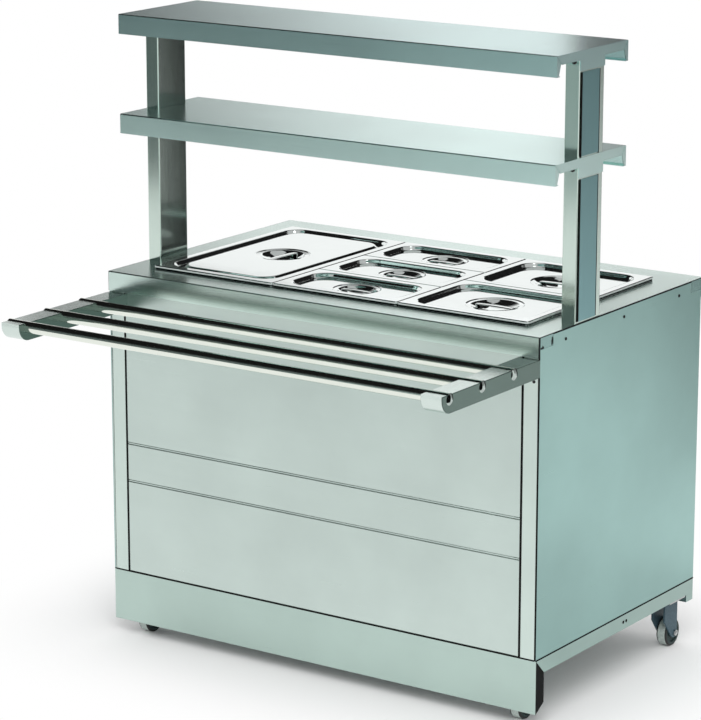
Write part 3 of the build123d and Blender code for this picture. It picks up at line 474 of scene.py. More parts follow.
# Panel seals: black rubber strips in the upright gaps beside the front panels, over the kick plate, over
# and under the side panels and round the right front corner. They are pressed in, with lips on the skin.
# Their black stands in for the shade in these gaps and seams: painted shade.
def mirrored(piece):
    """A copy of a piece on the other side of the counter."""
    twin = twin_of(piece, piece.name, Matrix.Scale(-1, 4, (1, 0, 0)))
    twin.data.flip_normals()
    return twin


gap_shade_rubber = mottled("gap_shade_rubber", (0.004, 0.004, 0.004), (0.008, 0.008, 0.008), 600, 0.7, 0.1, shine=0.1)
panel_gap, side_seam = 0.003, 0.002
shade_seal_sink, shade_seal_depth, shade_seal_round = 0.0006, 0.003, 0.0004
lip_gauge, lip_over, top_lip, corner_lip, corner_line = 0.0003, 0.0006, 0.0019, 0.0007, 0.002
foot_inner, foot_outer, foot_front, foot_back, bracket_play = 0.004, 0.0002, 0.004, 0.002, 0.0005
gap_inner, gap_outer = upper_high.x + hair, upper_high.x + panel_gap - hair
edge_inner, skin_inner = post_high.x + hair, side_high.x - side_gauge - hair
lip_back, lip_inner = upper_low.y - hair, side_high.x + hair
lip_front, lip_outer = lip_back - lip_gauge, lip_inner + lip_gauge
lip_foot, lip_top = side_low.z - side_seam - lip_over, side_low.z + lip_over
bracket_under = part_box("right_tray_bracket")[0].z - bracket_play
shade_seals = []
for low, high, both_sides in (
    ((gap_inner, upper_low.y + shade_seal_sink, lower_low.z),
     (gap_outer, upper_low.y + shade_seal_depth, upper_high.z), True),
    ((gap_inner - lip_over, lip_front, lower_low.z), (gap_outer + lip_over, lip_back, bracket_under), True),
    ((-post_high.x, lip_front, lip_foot), (post_high.x, lip_back, lip_top), False),
    ((side_high.x - foot_inner, side_low.y + foot_front, rail_high.z + hair),
     (side_high.x - foot_outer, side_high.y - foot_back, side_low.z - hair), True),
    ((lip_inner, side_low.y, lip_foot), (lip_outer, side_high.y, lip_top), True),
    ((lip_inner, worktop_low.y + tab_length, side_high.z - top_lip),
     (lip_outer, worktop_high.y - tab_length, side_high.z), True),
    ((edge_inner, side_low.y - hair - corner_lip, side_low.z),
     (side_high.x, side_low.y - hair, tab_under), False),
    ((edge_inner, side_low.y - hair, side_low.z), (skin_inner, side_low.y + shade_seal_depth, tab_under), False),
    ((worktop_high.x - corner_line, worktop_low.y - hair - lip_gauge, worktop_low.z),
     (worktop_high.x, worktop_low.y - hair, worktop_high.z - corner_line), False),
):
    shade_seal = start_block("gap_shade_seal", low, high, gap_shade_rubber, shade_seal_round)
    shade_seals += [shade_seal, mirrored(shade_seal)] if both_sides else [shade_seal]
ride_along(join_pieces("gap_shade_seals", shade_seals))

# Side panels: one satin sheet a side, with a return at the back and notches for the worktop's corner tabs.
# They are fixed by screws through their top edge.
# The side panels' steel is tinted darker and greener than the front panels: painted shade.
side_steel = satin_steel("side_steel", (0.36, 0.555, 0.525), grain_along_y)
dress(side_steel, "left_side_panel", "right_side_panel")


# Side panel screws: blackened button heads with a hexagon socket, three on each side.
# One head is turned and copied to its places.
def apply_modifier(piece, kind, **settings):
    """Add one modifier to a piece and apply it."""
    choose(piece)
    step = piece.modifiers.new(kind.lower(), kind)
    for name, value in settings.items():
        setattr(step, name, value)
    bpy.ops.object.modifier_apply(modifier=step.name)


def screw_head(radius, height, socket):
    """One button head with a hexagon socket, standing on the origin along Z."""
    dome_share, socket_floor = 0.7, 0.45
    head = start_bar("screw_head", radius, (0, 0, 0), (0, 0, height), blackened_steel)
    round_edges(head, dome_share * height, steps=4,
                test=lambda e: is_sharp(e) and all(v.co.z > height / 2 for v in e.verts))
    well = start_bar("screw_socket", socket, (0, 0, socket_floor * height), (0, 0, 2 * height),
                     blackened_steel, sides=6)
    apply_modifier(head, "BOOLEAN", operation="DIFFERENCE", object=well)
    bpy.data.objects.remove(well)
    return head


def set_screws(name, node, head, places, facing):
    """Copy a screw head to its places, turned to face one way each, in place of a CAD node."""
    heads = []
    for number, place in enumerate(places):
        turn = Vector(facing(place)).to_track_quat("Z", "Y").to_matrix().to_4x4()
        heads.append(twin_of(head, f"{name}_{number}", Matrix.Translation(place) @ turn))
    bpy.data.objects.remove(head)
    stand_for(join_pieces(name, heads), node, "cabinet")


blackened_steel = mottled("blackened_steel", (0.01, 0.01, 0.011), (0.03, 0.03, 0.03), 500, 0.4, 0.05,
                          metal=0.6)
screw_radius, screw_height, screw_socket = 0.0035, 0.0014, 0.0016
low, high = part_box("panel_screws")
screw_rows = (low.y + screw_radius, (low.y + high.y) / 2, high.y - screw_radius)
set_screws("side_panel_screws", "panel_screws", screw_head(screw_radius, screw_height, screw_socket),
           [Vector((side * side_high.x, row, (low.z + high.z) / 2))
            for side in (-1, 1) for row in screw_rows],
           lambda place: (place.x, 0, 0))


# Worktop: one satin sheet folded down at the front and back, its corners welded and ground flush.
# The well is cut out of it, and it sits over the top edges of the cabinet.
def darken_spot(material, spot, spread, ragged=0.0):
    """Darken a finish round a spot at both ends of the counter, with a ragged or a clean edge, for painted
    shade as well as for weld marks.
    """
    tree = material.node_tree
    colour = tree.nodes["Principled BSDF"].inputs["Base Color"]
    place = add_node(tree, "TexCoord").outputs["Object"]
    away = reckon(tree, "VectorMath", place, ("ABSOLUTE",), ("SUBTRACT", spot), ("DIVIDE", spread),
                  ("LENGTH",))
    ragged_edge_noise = noise(tree, place, scale=300.0)
    near = reckon(tree, "Math", ragged_edge_noise, ("MULTIPLY_ADD", ragged, away), ("LESS_THAN", 1 + ragged / 2))
    feed(tree, colour, tinted_where(tree, near, colour.links[0].from_socket, burn_and_shade_tint))


burn_and_shade_tint = (0.04, 0.05, 0.05)
tab_skin = 0.0005
tab_front, tab_back = -worktop_low.y, -worktop_low.y - tab_length
worktop_steel = satin_steel("worktop_steel", (0.69, 0.83, 0.78), grain_along_x, 0.24,
                            (0, worktop_high.x - tab_skin, (0.42, 0.54, 0.545)))
# Marks darkened on both side faces: along the top, the sheet's cut edge with painted shade under it; a dark
# line down the front and back corners; and weld marks at both ends of each corner tab.
worktop_marks = {
    "cut edge": ((worktop_high.x, 0, worktop_high.z), (0.0008, 2.0, 0.0022)),
    "corner line": ((worktop_high.x, tab_front, tab_under), (0.0008, 0.0042, 1.0)),
    "corner weld": ((worktop_high.x, tab_front - 0.012, tab_under + 0.003), (0.001, 0.007, 0.004), 1.5),
    "end weld": ((worktop_high.x, tab_back + 0.004, tab_under + 0.01), (0.001, 0.005, 0.008), 2.0),
}
for mark in worktop_marks.values():
    darken_spot(worktop_steel, *mark)
dress(worktop_steel, "worktop")

# Well: the water tank welded under the cut-out, with loose bars across it that carry the pan rims.
# Both are satin stainless, dulled by hot water.
tank_steel = satin_steel("tank_steel", (0.56, 0.6, 0.59), grain_along_x, 0.36)
dress(tank_steel, "well_tank", "pan_support_bars")


# Pans: six gastronorm pans drawn from polished stainless sheet, with a flat rim and rounded corners.
# Their rims rest on the worktop and on the bars.
def polished_steel(name, tint=(0.8, 0.82, 0.81), roughness=0.08):
    """Bright polished stainless with faint wiping marks."""
    darker, lighter, smoother, rougher = 0.96, 1.03, 0.03, 0.04
    material, tree, shader, place = new_finish(name, metal=1.0)
    smears = noise(tree, place, scale=25.0, detail=5.0)
    colour = two_tones(tree, smears, *tones_of(tint, darker, lighter))
    lay_finish(tree, shader, colour, smears, roughness - smoother, roughness + rougher)
    return material


pan_names = [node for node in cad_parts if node.startswith("pan_") and node != "pan_support_bars"]
pan_steel = polished_steel("pan_steel")
rim_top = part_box(pan_names[0])[1].z
rim_border, everywhere = 0.0002, 5
# Painted shadow: the outer edge of each pan rim, from the worktop up to just under the rim's top, is
# darkened almost black for the shade under the lid hems.
darken_spot(pan_steel, (0, 0, (rim_top + worktop_high.z) / 2),
            (everywhere, everywhere, (rim_top - worktop_high.z) / 2 - rim_border))
dress(pan_steel, *pan_names)


# Pan lids: pressed from polished stainless sheet, with a turned-down hem, a sunk field and a round dish
# under a strap handle, whose two ends are welded to the dish. One lid of each size is pressed and copied.
def pull_edges(drop, stretch_x, stretch_y):
    """Extrude the selected edge loop down and draw it in towards the middle of the lid."""
    bpy.ops.mesh.extrude_edges_move(TRANSFORM_OT_translate={"value": (0, 0, -drop)})
    bpy.ops.transform.resize(value=(stretch_x, stretch_y, 1), center_override=(0, 0, 0))


lid_gauge, lid_corner, lid_hem, lid_edge, lid_round = 0.0012, 0.006, 0.005, 0.003, 0.0022
field_margin, field_corner, field_near, corner_steps = 0.016, 0.0435, 0.001, 15
wall_depth, wall_run, wall_start, bend_lead, bend_steps = 0.0085, 0.008, 0.002, 0.0012, 8
groove_floor, groove_inner, groove_rise = 0.006, 0.009, 0.006
dish_bottom, dish_border, dish_sides, dish_steps = 0.0215, 0.0145, 64, 12
ring_radii = (0.0125, 0.0118, 0.0108, 0.0098, 0.0088, 0.0015, 0.0004)
ring_depths = (0, 0.0002, 0.0009, 0.0016, 0.0018, 0.0018, 0.0022)
strap_width, strap_gauge, strap_bow, strap_sink = 0.016, 0.002, 0.001, 0.0025
strap_round, strap_steps = 0.0007, 14
smooth_angle, fold_angle, hem_near = 40, 1, 0.0005


def bend(start_run, start_drop, run, drop):
    """Loops of one S bend: how far in and how deep each lies."""
    loops = []
    for step in range(1, bend_steps + 1):
        way = step / bend_steps
        loops.append((start_run + way * run, start_drop + drop * (1 - cos(pi * way)) / 2))
    return loops


def lid_wall(grooved):
    """Loops from the rim to the field: an S bend down and, on a grooved lid, a flat and an S bend up."""
    loops = [(bend_lead, 0)] + bend(wall_start, 0, wall_run, wall_depth)
    loops.append((loops[-1][0] + bend_lead, wall_depth))
    if grooved:
        loops.append((loops[-1][0] + groove_floor, wall_depth))
        loops += bend(loops[-1][0] + bend_lead, wall_depth, groove_inner, -groove_rise)
        loops.append((loops[-1][0] + bend_lead, wall_depth - groove_rise))
    return loops


def bowl_radius(dish, sink):
    """Radius of the sphere that the dish is part of."""
    return (dish**2 + sink**2) / (2 * sink)


def dish_loops(dish, sink):
    """Radius and depth below the field of the loops of the dish: a shallow step round a spherical bowl."""
    sphere = bowl_radius(dish, sink)
    loops = [(dish + out, down) for out, down in zip(ring_radii, ring_depths)]
    for part in range(1, dish_steps):
        radius = dish * (1 - part / dish_steps)
        loops.append((radius, ring_depths[-1] + sink - sphere + (sphere**2 - radius**2) ** 0.5))
    return loops


def pressed_sheet(name, wide, deep, field_depth, dish, dish_sink, grooved):
    """The sheet of one lid, pressed at the origin: rim, wall, field, dish and hem."""
    top_x, top_y = wide - 2 * lid_edge, deep - 2 * lid_edge
    field_x, field_y = wide - 2 * field_margin, deep - 2 * field_margin

    def outside_field(edge):
        """How far an edge lies outside the field."""
        corner = edge.verts[0].co
        return max(abs(corner.x) - field_x / 2, abs(corner.y) - field_y / 2)

    let_go()
    bpy.ops.mesh.primitive_plane_add(size=1)
    lid = bpy.context.object
    lid.name = name
    edit(lid)
    take_all()
    bpy.ops.transform.resize(value=(top_x, top_y, 1))
    bpy.ops.mesh.bevel(offset=lid_corner - lid_edge, segments=corner_steps, affect="VERTICES")
    bpy.ops.mesh.select_all(action="DESELECT")
    bpy.ops.mesh.primitive_plane_add(size=1)
    bpy.ops.transform.resize(value=(field_x, field_y, 1))
    bpy.ops.mesh.bevel(offset=field_corner, segments=corner_steps, affect="VERTICES")
    take_all()
    bpy.ops.mesh.delete(type="ONLY_FACE")
    take_all()
    bpy.ops.mesh.bridge_edge_loops()
    pick(lid, edges=lambda e: e.is_boundary and outside_field(e) > field_near)
    pull_edges(0, wide / top_x, deep / top_y)
    pick(lid, edges=lambda e: e.is_boundary and outside_field(e) < field_near)
    run, drop = 0, 0
    for next_run, next_drop in lid_wall(grooved):
        pull_edges(next_drop - drop, (field_x - 2 * next_run) / (field_x - 2 * run),
                   (field_y - 2 * next_run) / (field_y - 2 * run))
        run, drop = next_run, next_drop
    size, depth = dish + dish_border, 0
    bpy.ops.mesh.select_all(action="DESELECT")
    bpy.ops.mesh.primitive_circle_add(vertices=dish_sides, radius=size, location=(0, 0, -field_depth))
    pick(lid, edges=lambda e: e.is_wire or e.is_boundary and e.verts[0].co.z < -field_depth / 2)
    bpy.ops.mesh.fill(use_beauty=True)
    pick(lid, edges=lambda e: e.is_boundary and e.verts[0].co.z < -field_depth / 2)
    for next_size, next_depth in dish_loops(dish, dish_sink):
        pull_edges(next_depth - depth, next_size / size, next_size / size)
        size, depth = next_size, next_depth
    bpy.ops.mesh.edge_face_add()
    pick(lid, edges=lambda e: e.is_boundary)
    pull_edges(lid_hem, 1, 1)
    take_all()
    bpy.ops.mesh.normals_make_consistent(inside=False)
    pick(lid, edges=lambda e: abs(e.verts[0].co.z) + abs(e.verts[1].co.z) < level_near
         and e.calc_face_angle(0) > fold_angle)
    bpy.ops.mesh.bevel(offset=lid_round, segments=5)
    live = bmesh.from_edit_mesh(lid.data)
    if sum(face.normal.z * face.calc_area() for face in live.faces) < 0:
        take_all()
        bpy.ops.mesh.flip_normals()
    close_piece(lid, smooth_angle)
    apply_modifier(lid, "SOLIDIFY", thickness=lid_gauge, offset=-1)
    return lid


def bent_strap(field_depth, dish, dish_sink, strap_along):
    """The strap handle of one lid, a flat bar bent to a shallow bow over the dish."""
    sphere = bowl_radius(dish, dish_sink)
    weld_depth = strap_sink + strap_bow + strap_gauge / 2 - ring_depths[-1]
    reach = (sphere**2 - (sphere - dish_sink + weld_depth) ** 2) ** 0.5
    curve = bowl_radius(reach, strap_bow)
    strap_top = -field_depth - strap_sink
    let_go()
    bpy.ops.mesh.primitive_plane_add(size=1, rotation=(0, pi / 2, 0))
    bpy.ops.object.transform_apply(rotation=True)
    strap = bpy.context.object
    edit(strap)
    take_all()
    bpy.ops.transform.resize(value=(1, strap_width, strap_gauge))
    bpy.ops.transform.translate(value=(0, 0, strap_top - strap_gauge / 2))
    bpy.ops.mesh.spin(steps=strap_steps, angle=asin(reach / curve), center=(0, 0, strap_top - curve),
                      axis=(0, 1, 0))
    pick(strap, faces=lambda f: all(abs(v.co.x) < level_near for v in f.verts))
    bpy.ops.mesh.delete(type="ONLY_FACE")
    bpy.ops.object.mode_set(mode="OBJECT")
    apply_modifier(strap, "MIRROR", use_axis=(True, False, False), merge_threshold=2 * merge_distance)
    edit(strap)
    take_all()
    bpy.ops.mesh.normals_make_consistent(inside=False)
    pick(strap, edges=lambda e: e.calc_face_angle(0) > fold_angle)
    bpy.ops.mesh.bevel(offset=strap_round, segments=2)
    if strap_along == "Y":
        take_all()
        bpy.ops.transform.rotate(value=pi / 2, orient_axis="Z", center_override=(0, 0, 0))
    close_piece(strap, smooth_angle)
    return strap


def finished_lid(name, node, dish, strap_along, grooved):
    """One lid with its strap, set down on the place of its CAD node."""
    low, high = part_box(node)
    field_depth = wall_depth - groove_rise if grooved else wall_depth
    dish_sink = dish_bottom - field_depth - ring_depths[-1]
    lid = pressed_sheet(name, high.x - low.x, high.y - low.y, field_depth, dish, dish_sink, grooved)
    strap = bent_strap(field_depth, dish, dish_sink, strap_along)
    join_pieces(name, [lid, strap])
    edit(lid)
    take_all()
    bpy.ops.transform.translate(value=((low.x + high.x) / 2, (low.y + high.y) / 2, high.z))
    bpy.ops.object.mode_set(mode="OBJECT")
    # The hem faces below the rounded top edge take the second finish: a painted highlight.
    paint_piece(lid, lid_steel).data.materials.append(hem_highlight_steel)
    for face in lid.data.polygons:
        spot = face.center
        inside = min(spot.x - low.x, high.x - spot.x, spot.y - low.y, high.y - spot.y)
        face.material_index = 1 if inside < hem_near and spot.z < high.z - lid_round else 0
    return lid


lid_steel = polished_steel("lid_steel", (0.83, 0.88, 0.865), 0.05)
# The hem finish is pale and matt in place of the lid's mirror polish: a painted highlight along the hems.
hem_highlight_steel = mottled("hem_highlight_steel", (0.66, 0.7, 0.69), (0.74, 0.78, 0.77), 40, 0.5, 0.03)
for name, dish, strap_along, grooved, nodes_like in (
    ("whole_lid", 0.052, "Y", True, ("lid_left",)),
    ("third_lid", 0.042, "X", False, ("lid_middle_front", "lid_middle_center", "lid_middle_back")),
    ("half_lid", 0.052, "X", False, ("lid_right_front", "lid_right_back")),
):
    first_lid = finished_lid(f"{name}_0", nodes_like[0], dish, strap_along, grooved)
    for count, node in enumerate(nodes_like[1:], 1):
        move = Matrix.Translation(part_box(node)[0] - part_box(nodes_like[0])[0])
        stand_for(twin_of(first_lid, f"{name}_{count}", move), node, node)
    stand_for(first_lid, nodes_like[0], nodes_like[0])

# Gantry uprights: rectangular tubes of satin stainless, welded to the worktop near its ends.
# They pass through the lower shelf and carry the upper one.
post_steel = satin_steel("post_steel", (0.62, 0.73, 0.67), grain_along_z, 0.12)
dress(post_steel, "left_gantry_post", "right_gantry_post")

# Upright covers: flat satin strips on the outer side of each upright, between its two slots.
# They come in two lengths, below and above the lower shelf.
# The covers' steel is tinted darker than the uprights: painted shade.
dress(satin_steel("cover_steel", (0.25, 0.435, 0.45), grain_along_z), "gantry_post_covers")

# Cover edge strips: black rubber strips along both upright edges of each cover.
# They frame the cover on the face of the upright, and their black stands in for the shade lines at its
# edges:
# painted shade.
cover_low, cover_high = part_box("gantry_post_covers")
shelf_low, shelf_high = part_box("lower_shelf")
edge_width, edge_gauge, edge_play, edge_round = 0.0035, 0.0014, 0.0005, 0.0003
upright_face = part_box("right_gantry_post")[1].x
edge_strips = []
for foot, top in ((cover_low.z, shelf_low.z), (shelf_high.z, cover_high.z)):
    for start in (cover_low.y - edge_width, cover_high.y):
        strip = start_block("edge_strip", (upright_face, start, foot + edge_play),
                            (upright_face + edge_gauge, start + edge_width, top - edge_play),
                            gap_shade_rubber, edge_round)
        edge_strips += [strip, mirrored(strip)]
ride_along(join_pieces("cover_edge_strips", edge_strips))

# Gantry shelves: satin sheet folded down on all sides, with returns at the ends of the fascias.
# The lower one is notched for the uprights.
# The two shelves are one steel in two tints, the lower one lighter: painted light.
dress(satin_steel("upper_shelf_steel", (0.58, 0.79, 0.775), grain_along_x, 0.24), "upper_shelf")
dress(satin_steel("lower_shelf_steel", (0.7, 0.91, 0.87), grain_along_x, 0.24), "lower_shelf")

# Shelf bolts: blackened button heads in the front of each upright, one under each shelf.
# Their shanks go through its front wall.
bolt_radius, bolt_height, bolt_socket = 0.0055, 0.003, 0.0025
low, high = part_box("shelf_bolts")
bolt_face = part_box("left_gantry_post")[0].y
set_screws("shelf_bolt_heads", "shelf_bolts", screw_head(bolt_radius, bolt_height, bolt_socket),
           [Vector((x, bolt_face, z)) for x in (low.x + bolt_radius, high.x - bolt_radius)
            for z in (low.z + bolt_radius, high.z - bolt_radius)],
           lambda place: (0, -1, 0))

# Tray slide brackets: box sections of satin sheet with a rounded nose, set against the corner posts.
# Three round notches in the top of each one hold the tubes.
bracket_low, bracket_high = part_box("right_tray_bracket")
bracket_skin = 0.0008
bracket_middle = (bracket_low.x + bracket_high.x) / 2
bracket_half = (bracket_high.x - bracket_low.x) / 2 - bracket_skin
# Its flanks, the outer side faces, are tinted much darker: painted shade.
bracket_steel = satin_steel("bracket_steel", (0.68, 0.77, 0.73), grain_along_y, 0.22,
                            (bracket_middle, bracket_half, (0.2, 0.25, 0.235)))
dress(bracket_steel, "left_tray_bracket", "right_tray_bracket")

# Bracket screws: blackened button heads through the front of the corner posts, just under the brackets.
# Their heads are like those on the side panels.
low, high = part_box("bracket_screws")
set_screws("bracket_screw_heads", "bracket_screws", screw_head(screw_radius, screw_height, screw_socket),
           [Vector((x, post_low.y, (low.z + high.z) / 2))
            for x in (low.x + screw_radius, high.x - screw_radius)],
           lambda place: (0, -1, 0))

# Tray slide tubes: three polished stainless tubes that trays slide along.
# They lie in the notches of the brackets.
tube_steel = polished_steel("tube_steel", (0.79, 0.83, 0.76), 0.06)
dress(tube_steel, "tray_tubes")

# Tube ends: polished domed plugs driven into both ends of each tube.
# One is turned and copied.
tube_low, tube_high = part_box("tray_tubes")
tube_radius = (tube_high.z - tube_low.z) / 2
tube_height = (tube_high.z + tube_low.z) / 2
first_row, last_row = tube_low.y + tube_radius, tube_high.y - tube_radius
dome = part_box("tube_end_caps")[1].x - tube_high.x
ball = bowl_radius(tube_radius, dome)
let_go()
bpy.ops.mesh.primitive_uv_sphere_add(segments=64, ring_count=64, radius=ball, location=(0, 0, dome - ball))
bpy.ops.object.transform_apply(location=True)
tube_plug = bpy.context.object
edit(tube_plug)
take_all()
bpy.ops.mesh.bisect(plane_co=(0, 0, 0), plane_no=(0, 0, 1), use_fill=True, clear_inner=True)
close_piece(tube_plug)
tube_plugs = []
for side in (-1, 1):
    turn = Matrix.Rotation(side * pi / 2, 4, "Y")
    for row in (first_row, (first_row + last_row) / 2, last_row):
        move = Matrix.Translation((side * tube_high.x, row, tube_height)) @ turn
        tube_plugs.append(twin_of(tube_plug, "tube_plug", move))
bpy.data.objects.remove(tube_plug)
# The domes' polished steel is tinted darker than the tubes: painted shade.
plug_steel = polished_steel("plug_steel", (0.5, 0.57, 0.54), 0.1)
tube_ends = paint_piece(join_pieces("tube_end_domes", tube_plugs), plug_steel)
stand_for(tube_ends, "tube_end_caps", "cabinet")

# Control panel: a satin sheet across the operator side, folded back along its bottom edge.
# The thermostat, switch, pilot lamp and cable gland go through it.
dress(satin_steel("control_steel", (0.6, 0.66, 0.65), grain_along_x), "control_panel")


# Thermostat: a black moulded body behind the panel, with its spindle through it.
# It is only seen from inside the storage space.
def softened_copy(node, name, width, body, material):
    """A copy of a CAD piece with its triangles merged and its sharp edges rounded, in the node's place."""
    piece = bpy.data.objects.new(name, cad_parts[node].data.copy())
    bpy.context.collection.objects.link(piece)
    edit(piece)
    take_all()
    bpy.ops.mesh.remove_doubles(threshold=merge_distance)
    bpy.ops.mesh.dissolve_limited(angle_limit=radians(1))
    pick(piece, edges=is_sharp)
    bpy.ops.mesh.bevel(offset=width, segments=2)
    close_piece(piece)
    stand_for(paint_piece(piece, material), node, body)
    return piece


softened_copy("thermostat_body", "thermostat_case", 0.001, "cabinet", black_plastic)


# Thermostat knob: black moulded plastic with a fluted skirt and a pointer ridge across its face.
# A white line is filled into the end of the ridge.
def in_flute(face):
    """Whether a face of the skirt lies in a flute, which takes two faces of every three."""
    turn = face.normal.xz.angle_signed((1, 0)) / (2 * pi / skirt_sides)
    return abs(face.normal.y) < level_slope and round(turn - 0.5) % 3


low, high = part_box("thermostat_knob")
knob = Vector(((low.x + high.x) / 2, low.y, (low.z + high.z) / 2))
knob_radius, knob_round = (high.x - low.x) / 2, 0.0012
skirt_height, skirt_sides, flute_border, flute_depth = 0.014, 72, 0.0004, 0.0009
ridge_half, ridge_start, ridge_tail, ridge_end = 0.003, 0.001, 0.018, 0.0005
line_half, line_sink, line_proud, line_round = 0.0007, 0.001, 0.0002, 0.0002
line_start, line_end = 0.004, 0.003
skirt_top = knob + Vector((0, skirt_height, 0))
skirt = start_bar("knob_skirt", knob_radius, knob, skirt_top, black_plastic, sides=skirt_sides)
edit(skirt)
pick(skirt, faces=in_flute)
bpy.ops.mesh.inset(thickness=flute_border, depth=-flute_depth)
close_piece(skirt)
round_edges(skirt, knob_round, steps=3,
            test=lambda e: is_sharp(e) and all(v.co.y > skirt_top.y - level_near for v in e.verts))
ridge = start_block("knob_ridge", (knob.x - ridge_half, knob.y + ridge_start, knob.z - ridge_tail),
                    (knob.x + ridge_half, high.y, knob.z + knob_radius - ridge_end),
                    black_plastic, knob_round, steps=3)
white_fill = mottled("white_fill", (0.7, 0.7, 0.68), (0.78, 0.78, 0.76), 800, 0.5, 0.05)
line = start_block("knob_line", (knob.x - line_half, high.y - line_sink, knob.z + line_start),
                   (knob.x + line_half, high.y + line_proud, knob.z + knob_radius - line_end),
                   white_fill, line_round)
knob_piece = join_pieces("fluted_knob", [skirt, ridge, line])
stand_for(knob_piece, "thermostat_knob", "thermostat_knob")


# Thermostat scale: dark strokes printed on the panel round the knob, with no figures.
# They run round three quarters of the circle, open at the bottom.
def is_bare(face):
    """Whether a step of the ring lies between two strokes or in the gap at the bottom."""
    spot = face.calc_center_median() - knob
    step = round(spot.xz.angle_signed((0, 1)) / (2 * pi / stroke_steps) - 0.5)
    return step % stroke_every != 0 or spot.z < -open_share * scale_inner


scale_gap, stroke_length, print_gauge = 0.003, 0.004, 0.0002
scale_inner = knob_radius + scale_gap
stroke_steps, stroke_every, open_share = 120, 5, 0.75
panel_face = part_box("control_panel")[1].y
let_go()
bpy.ops.mesh.primitive_circle_add(vertices=stroke_steps, radius=scale_inner, rotation=(pi / 2, 0, 0),
                                  location=(knob.x, panel_face, knob.z))
bpy.ops.object.transform_apply()
strokes = bpy.context.object
strokes.name = "thermostat_scale"
edit(strokes)
take_all()
bpy.ops.mesh.extrude_edges_move()
grow = (scale_inner + stroke_length) / scale_inner
bpy.ops.transform.resize(value=(grow, 1, grow), center_override=(knob.x, 0, knob.z))
pick(strokes, faces=is_bare)
bpy.ops.mesh.delete(type="FACE")
take_all()
bpy.ops.mesh.extrude_region_move(TRANSFORM_OT_translate={"value": (0, print_gauge, 0)})
take_all()
bpy.ops.mesh.normals_make_consistent(inside=False)
close_piece(strokes)
paint_piece(strokes, mottled("scale_print", (0.012, 0.012, 0.013), (0.03, 0.03, 0.032), 900, 0.6, 0.02))
ride_along(strokes)

# Switch and rocker: a black moulded body clipped into the panel, and a green rocker on its pivot pin.
# The rocker is drawn tipped to its off side.
softened_copy("switch_body", "switch_case", 0.0005, "cabinet", black_plastic)
rocker_plastic = mottled("rocker_plastic", (0.02, 0.2, 0.06), (0.04, 0.3, 0.1), 500, 0.3, 0.03)
softened_copy("power_rocker", "switch_rocker", 0.0006, "power_rocker", rocker_plastic)

# Pilot lamp: a barrel through the panel with a chromed bezel and a domed amber lens.
# It is pushed into its hole from outside, up to the bezel.
bezel_height = 0.0019
lens_plastic = mottled("lens_plastic", (0.6, 0.2, 0.02), (0.7, 0.27, 0.03), 200, 0.15, 0.02)
lamp = softened_copy("pilot_lamp", "lamp_barrel", 0.0007, "cabinet", lens_plastic)
lamp.data.materials.append(polished_steel("lamp_chrome"))
for face in lamp.data.polygons:
    face.material_index = 0 if face.center.y > panel_face + bezel_height else 1

# Cable gland: black moulded body, hexagon and dome outside the panel and a lock nut inside.
# The supply lead would come out of its bore.
softened_copy("cable_gland", "supply_gland", 0.0005, "cabinet", black_plastic)

# Heating element: one sheathed tube bent into long runs, held up under the tank by small bridges.
# Heat has browned its sheath.
element_sheath = mottled("element_sheath", (0.1, 0.085, 0.075), (0.2, 0.17, 0.15), 60, 0.45, 0.05, metal=1.0)
dress(element_sheath, "heating_element")
dress(tank_steel, "element_clamps")

# Drain: a pipe welded into the tank floor, a cast brass valve under it and a red lever on its stem.
# The lever turns a quarter to open the valve.
dress(tank_steel, "drain_pipe")
valve_brass = mottled("valve_brass", (0.5, 0.34, 0.13), (0.64, 0.46, 0.2), 120, 0.35, 0.1, metal=1.0)
softened_copy("drain_valve", "drain_valve_casting", 0.0008, "cabinet", valve_brass)
lever_paint = mottled("lever_paint", (0.32, 0.02, 0.015), (0.42, 0.03, 0.02), 300, 0.4, 0.08)
softened_copy("drain_lever", "drain_lever_handle", 0.0012, "drain_lever", lever_paint)

# Studio: a pale floor that keeps the shadow and fades to the white of the background, a white surround,
# a broad soft lamp, a small one high over the right end, and dark cloths that only mirror-like surfaces see.
let_go()
bpy.ops.mesh.primitive_plane_add(size=40, location=(0, 0, 0))
floor = bpy.context.object
floor.name = "studio_floor"
paper_white, paper_rough, shadow_reach = (0.88, 0.88, 0.88, 1), 0.9, 0.45
deck_low, deck_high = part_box("base_shelf")
paper, tree, sheet, place = new_finish("studio_paper", shine=0.1)
feed(tree, sheet.inputs["Base Color"], paper_white)
feed(tree, sheet.inputs["Roughness"], paper_rough)
away = reckon(tree, "VectorMath", place, ("SUBTRACT", (deck_low + deck_high) / 2), ("ABSOLUTE",),
              ("SUBTRACT", (deck_high - deck_low) / 2), ("MAXIMUM", (0, 0, 0)), ("MULTIPLY", (1, 1, 0)),
              ("LENGTH",))
fade = add_node(tree, "MapRange", {"interpolation_type": "SMOOTHSTEP"}, Value=away, From_Max=shadow_reach)
ray = add_node(tree, "LightPath").outputs
seen = reckon(tree, "Math", ray["Is Camera Ray"], ("MAXIMUM", ray["Is Glossy Ray"]),
              ("MULTIPLY", fade.outputs["Result"]))
glow = add_node(tree, "Emission", Strength=1.0)
blend = add_node(tree, "MixShader", Fac=seen)
feed(tree, blend.inputs[1], sheet.outputs["BSDF"])
feed(tree, blend.inputs[2], glow.outputs["Emission"])
feed(tree, tree.nodes["Material Output"].inputs["Surface"], blend.outputs["Shader"])
floor.data.materials.append(paper)

world = bpy.data.worlds.new("studio")
bpy.context.scene.world = world
world.use_nodes = True
sky = world.node_tree.nodes["Background"]
sky.inputs["Color"].default_value = (1, 1, 1, 1)
sky.inputs["Strength"].default_value = 1.0


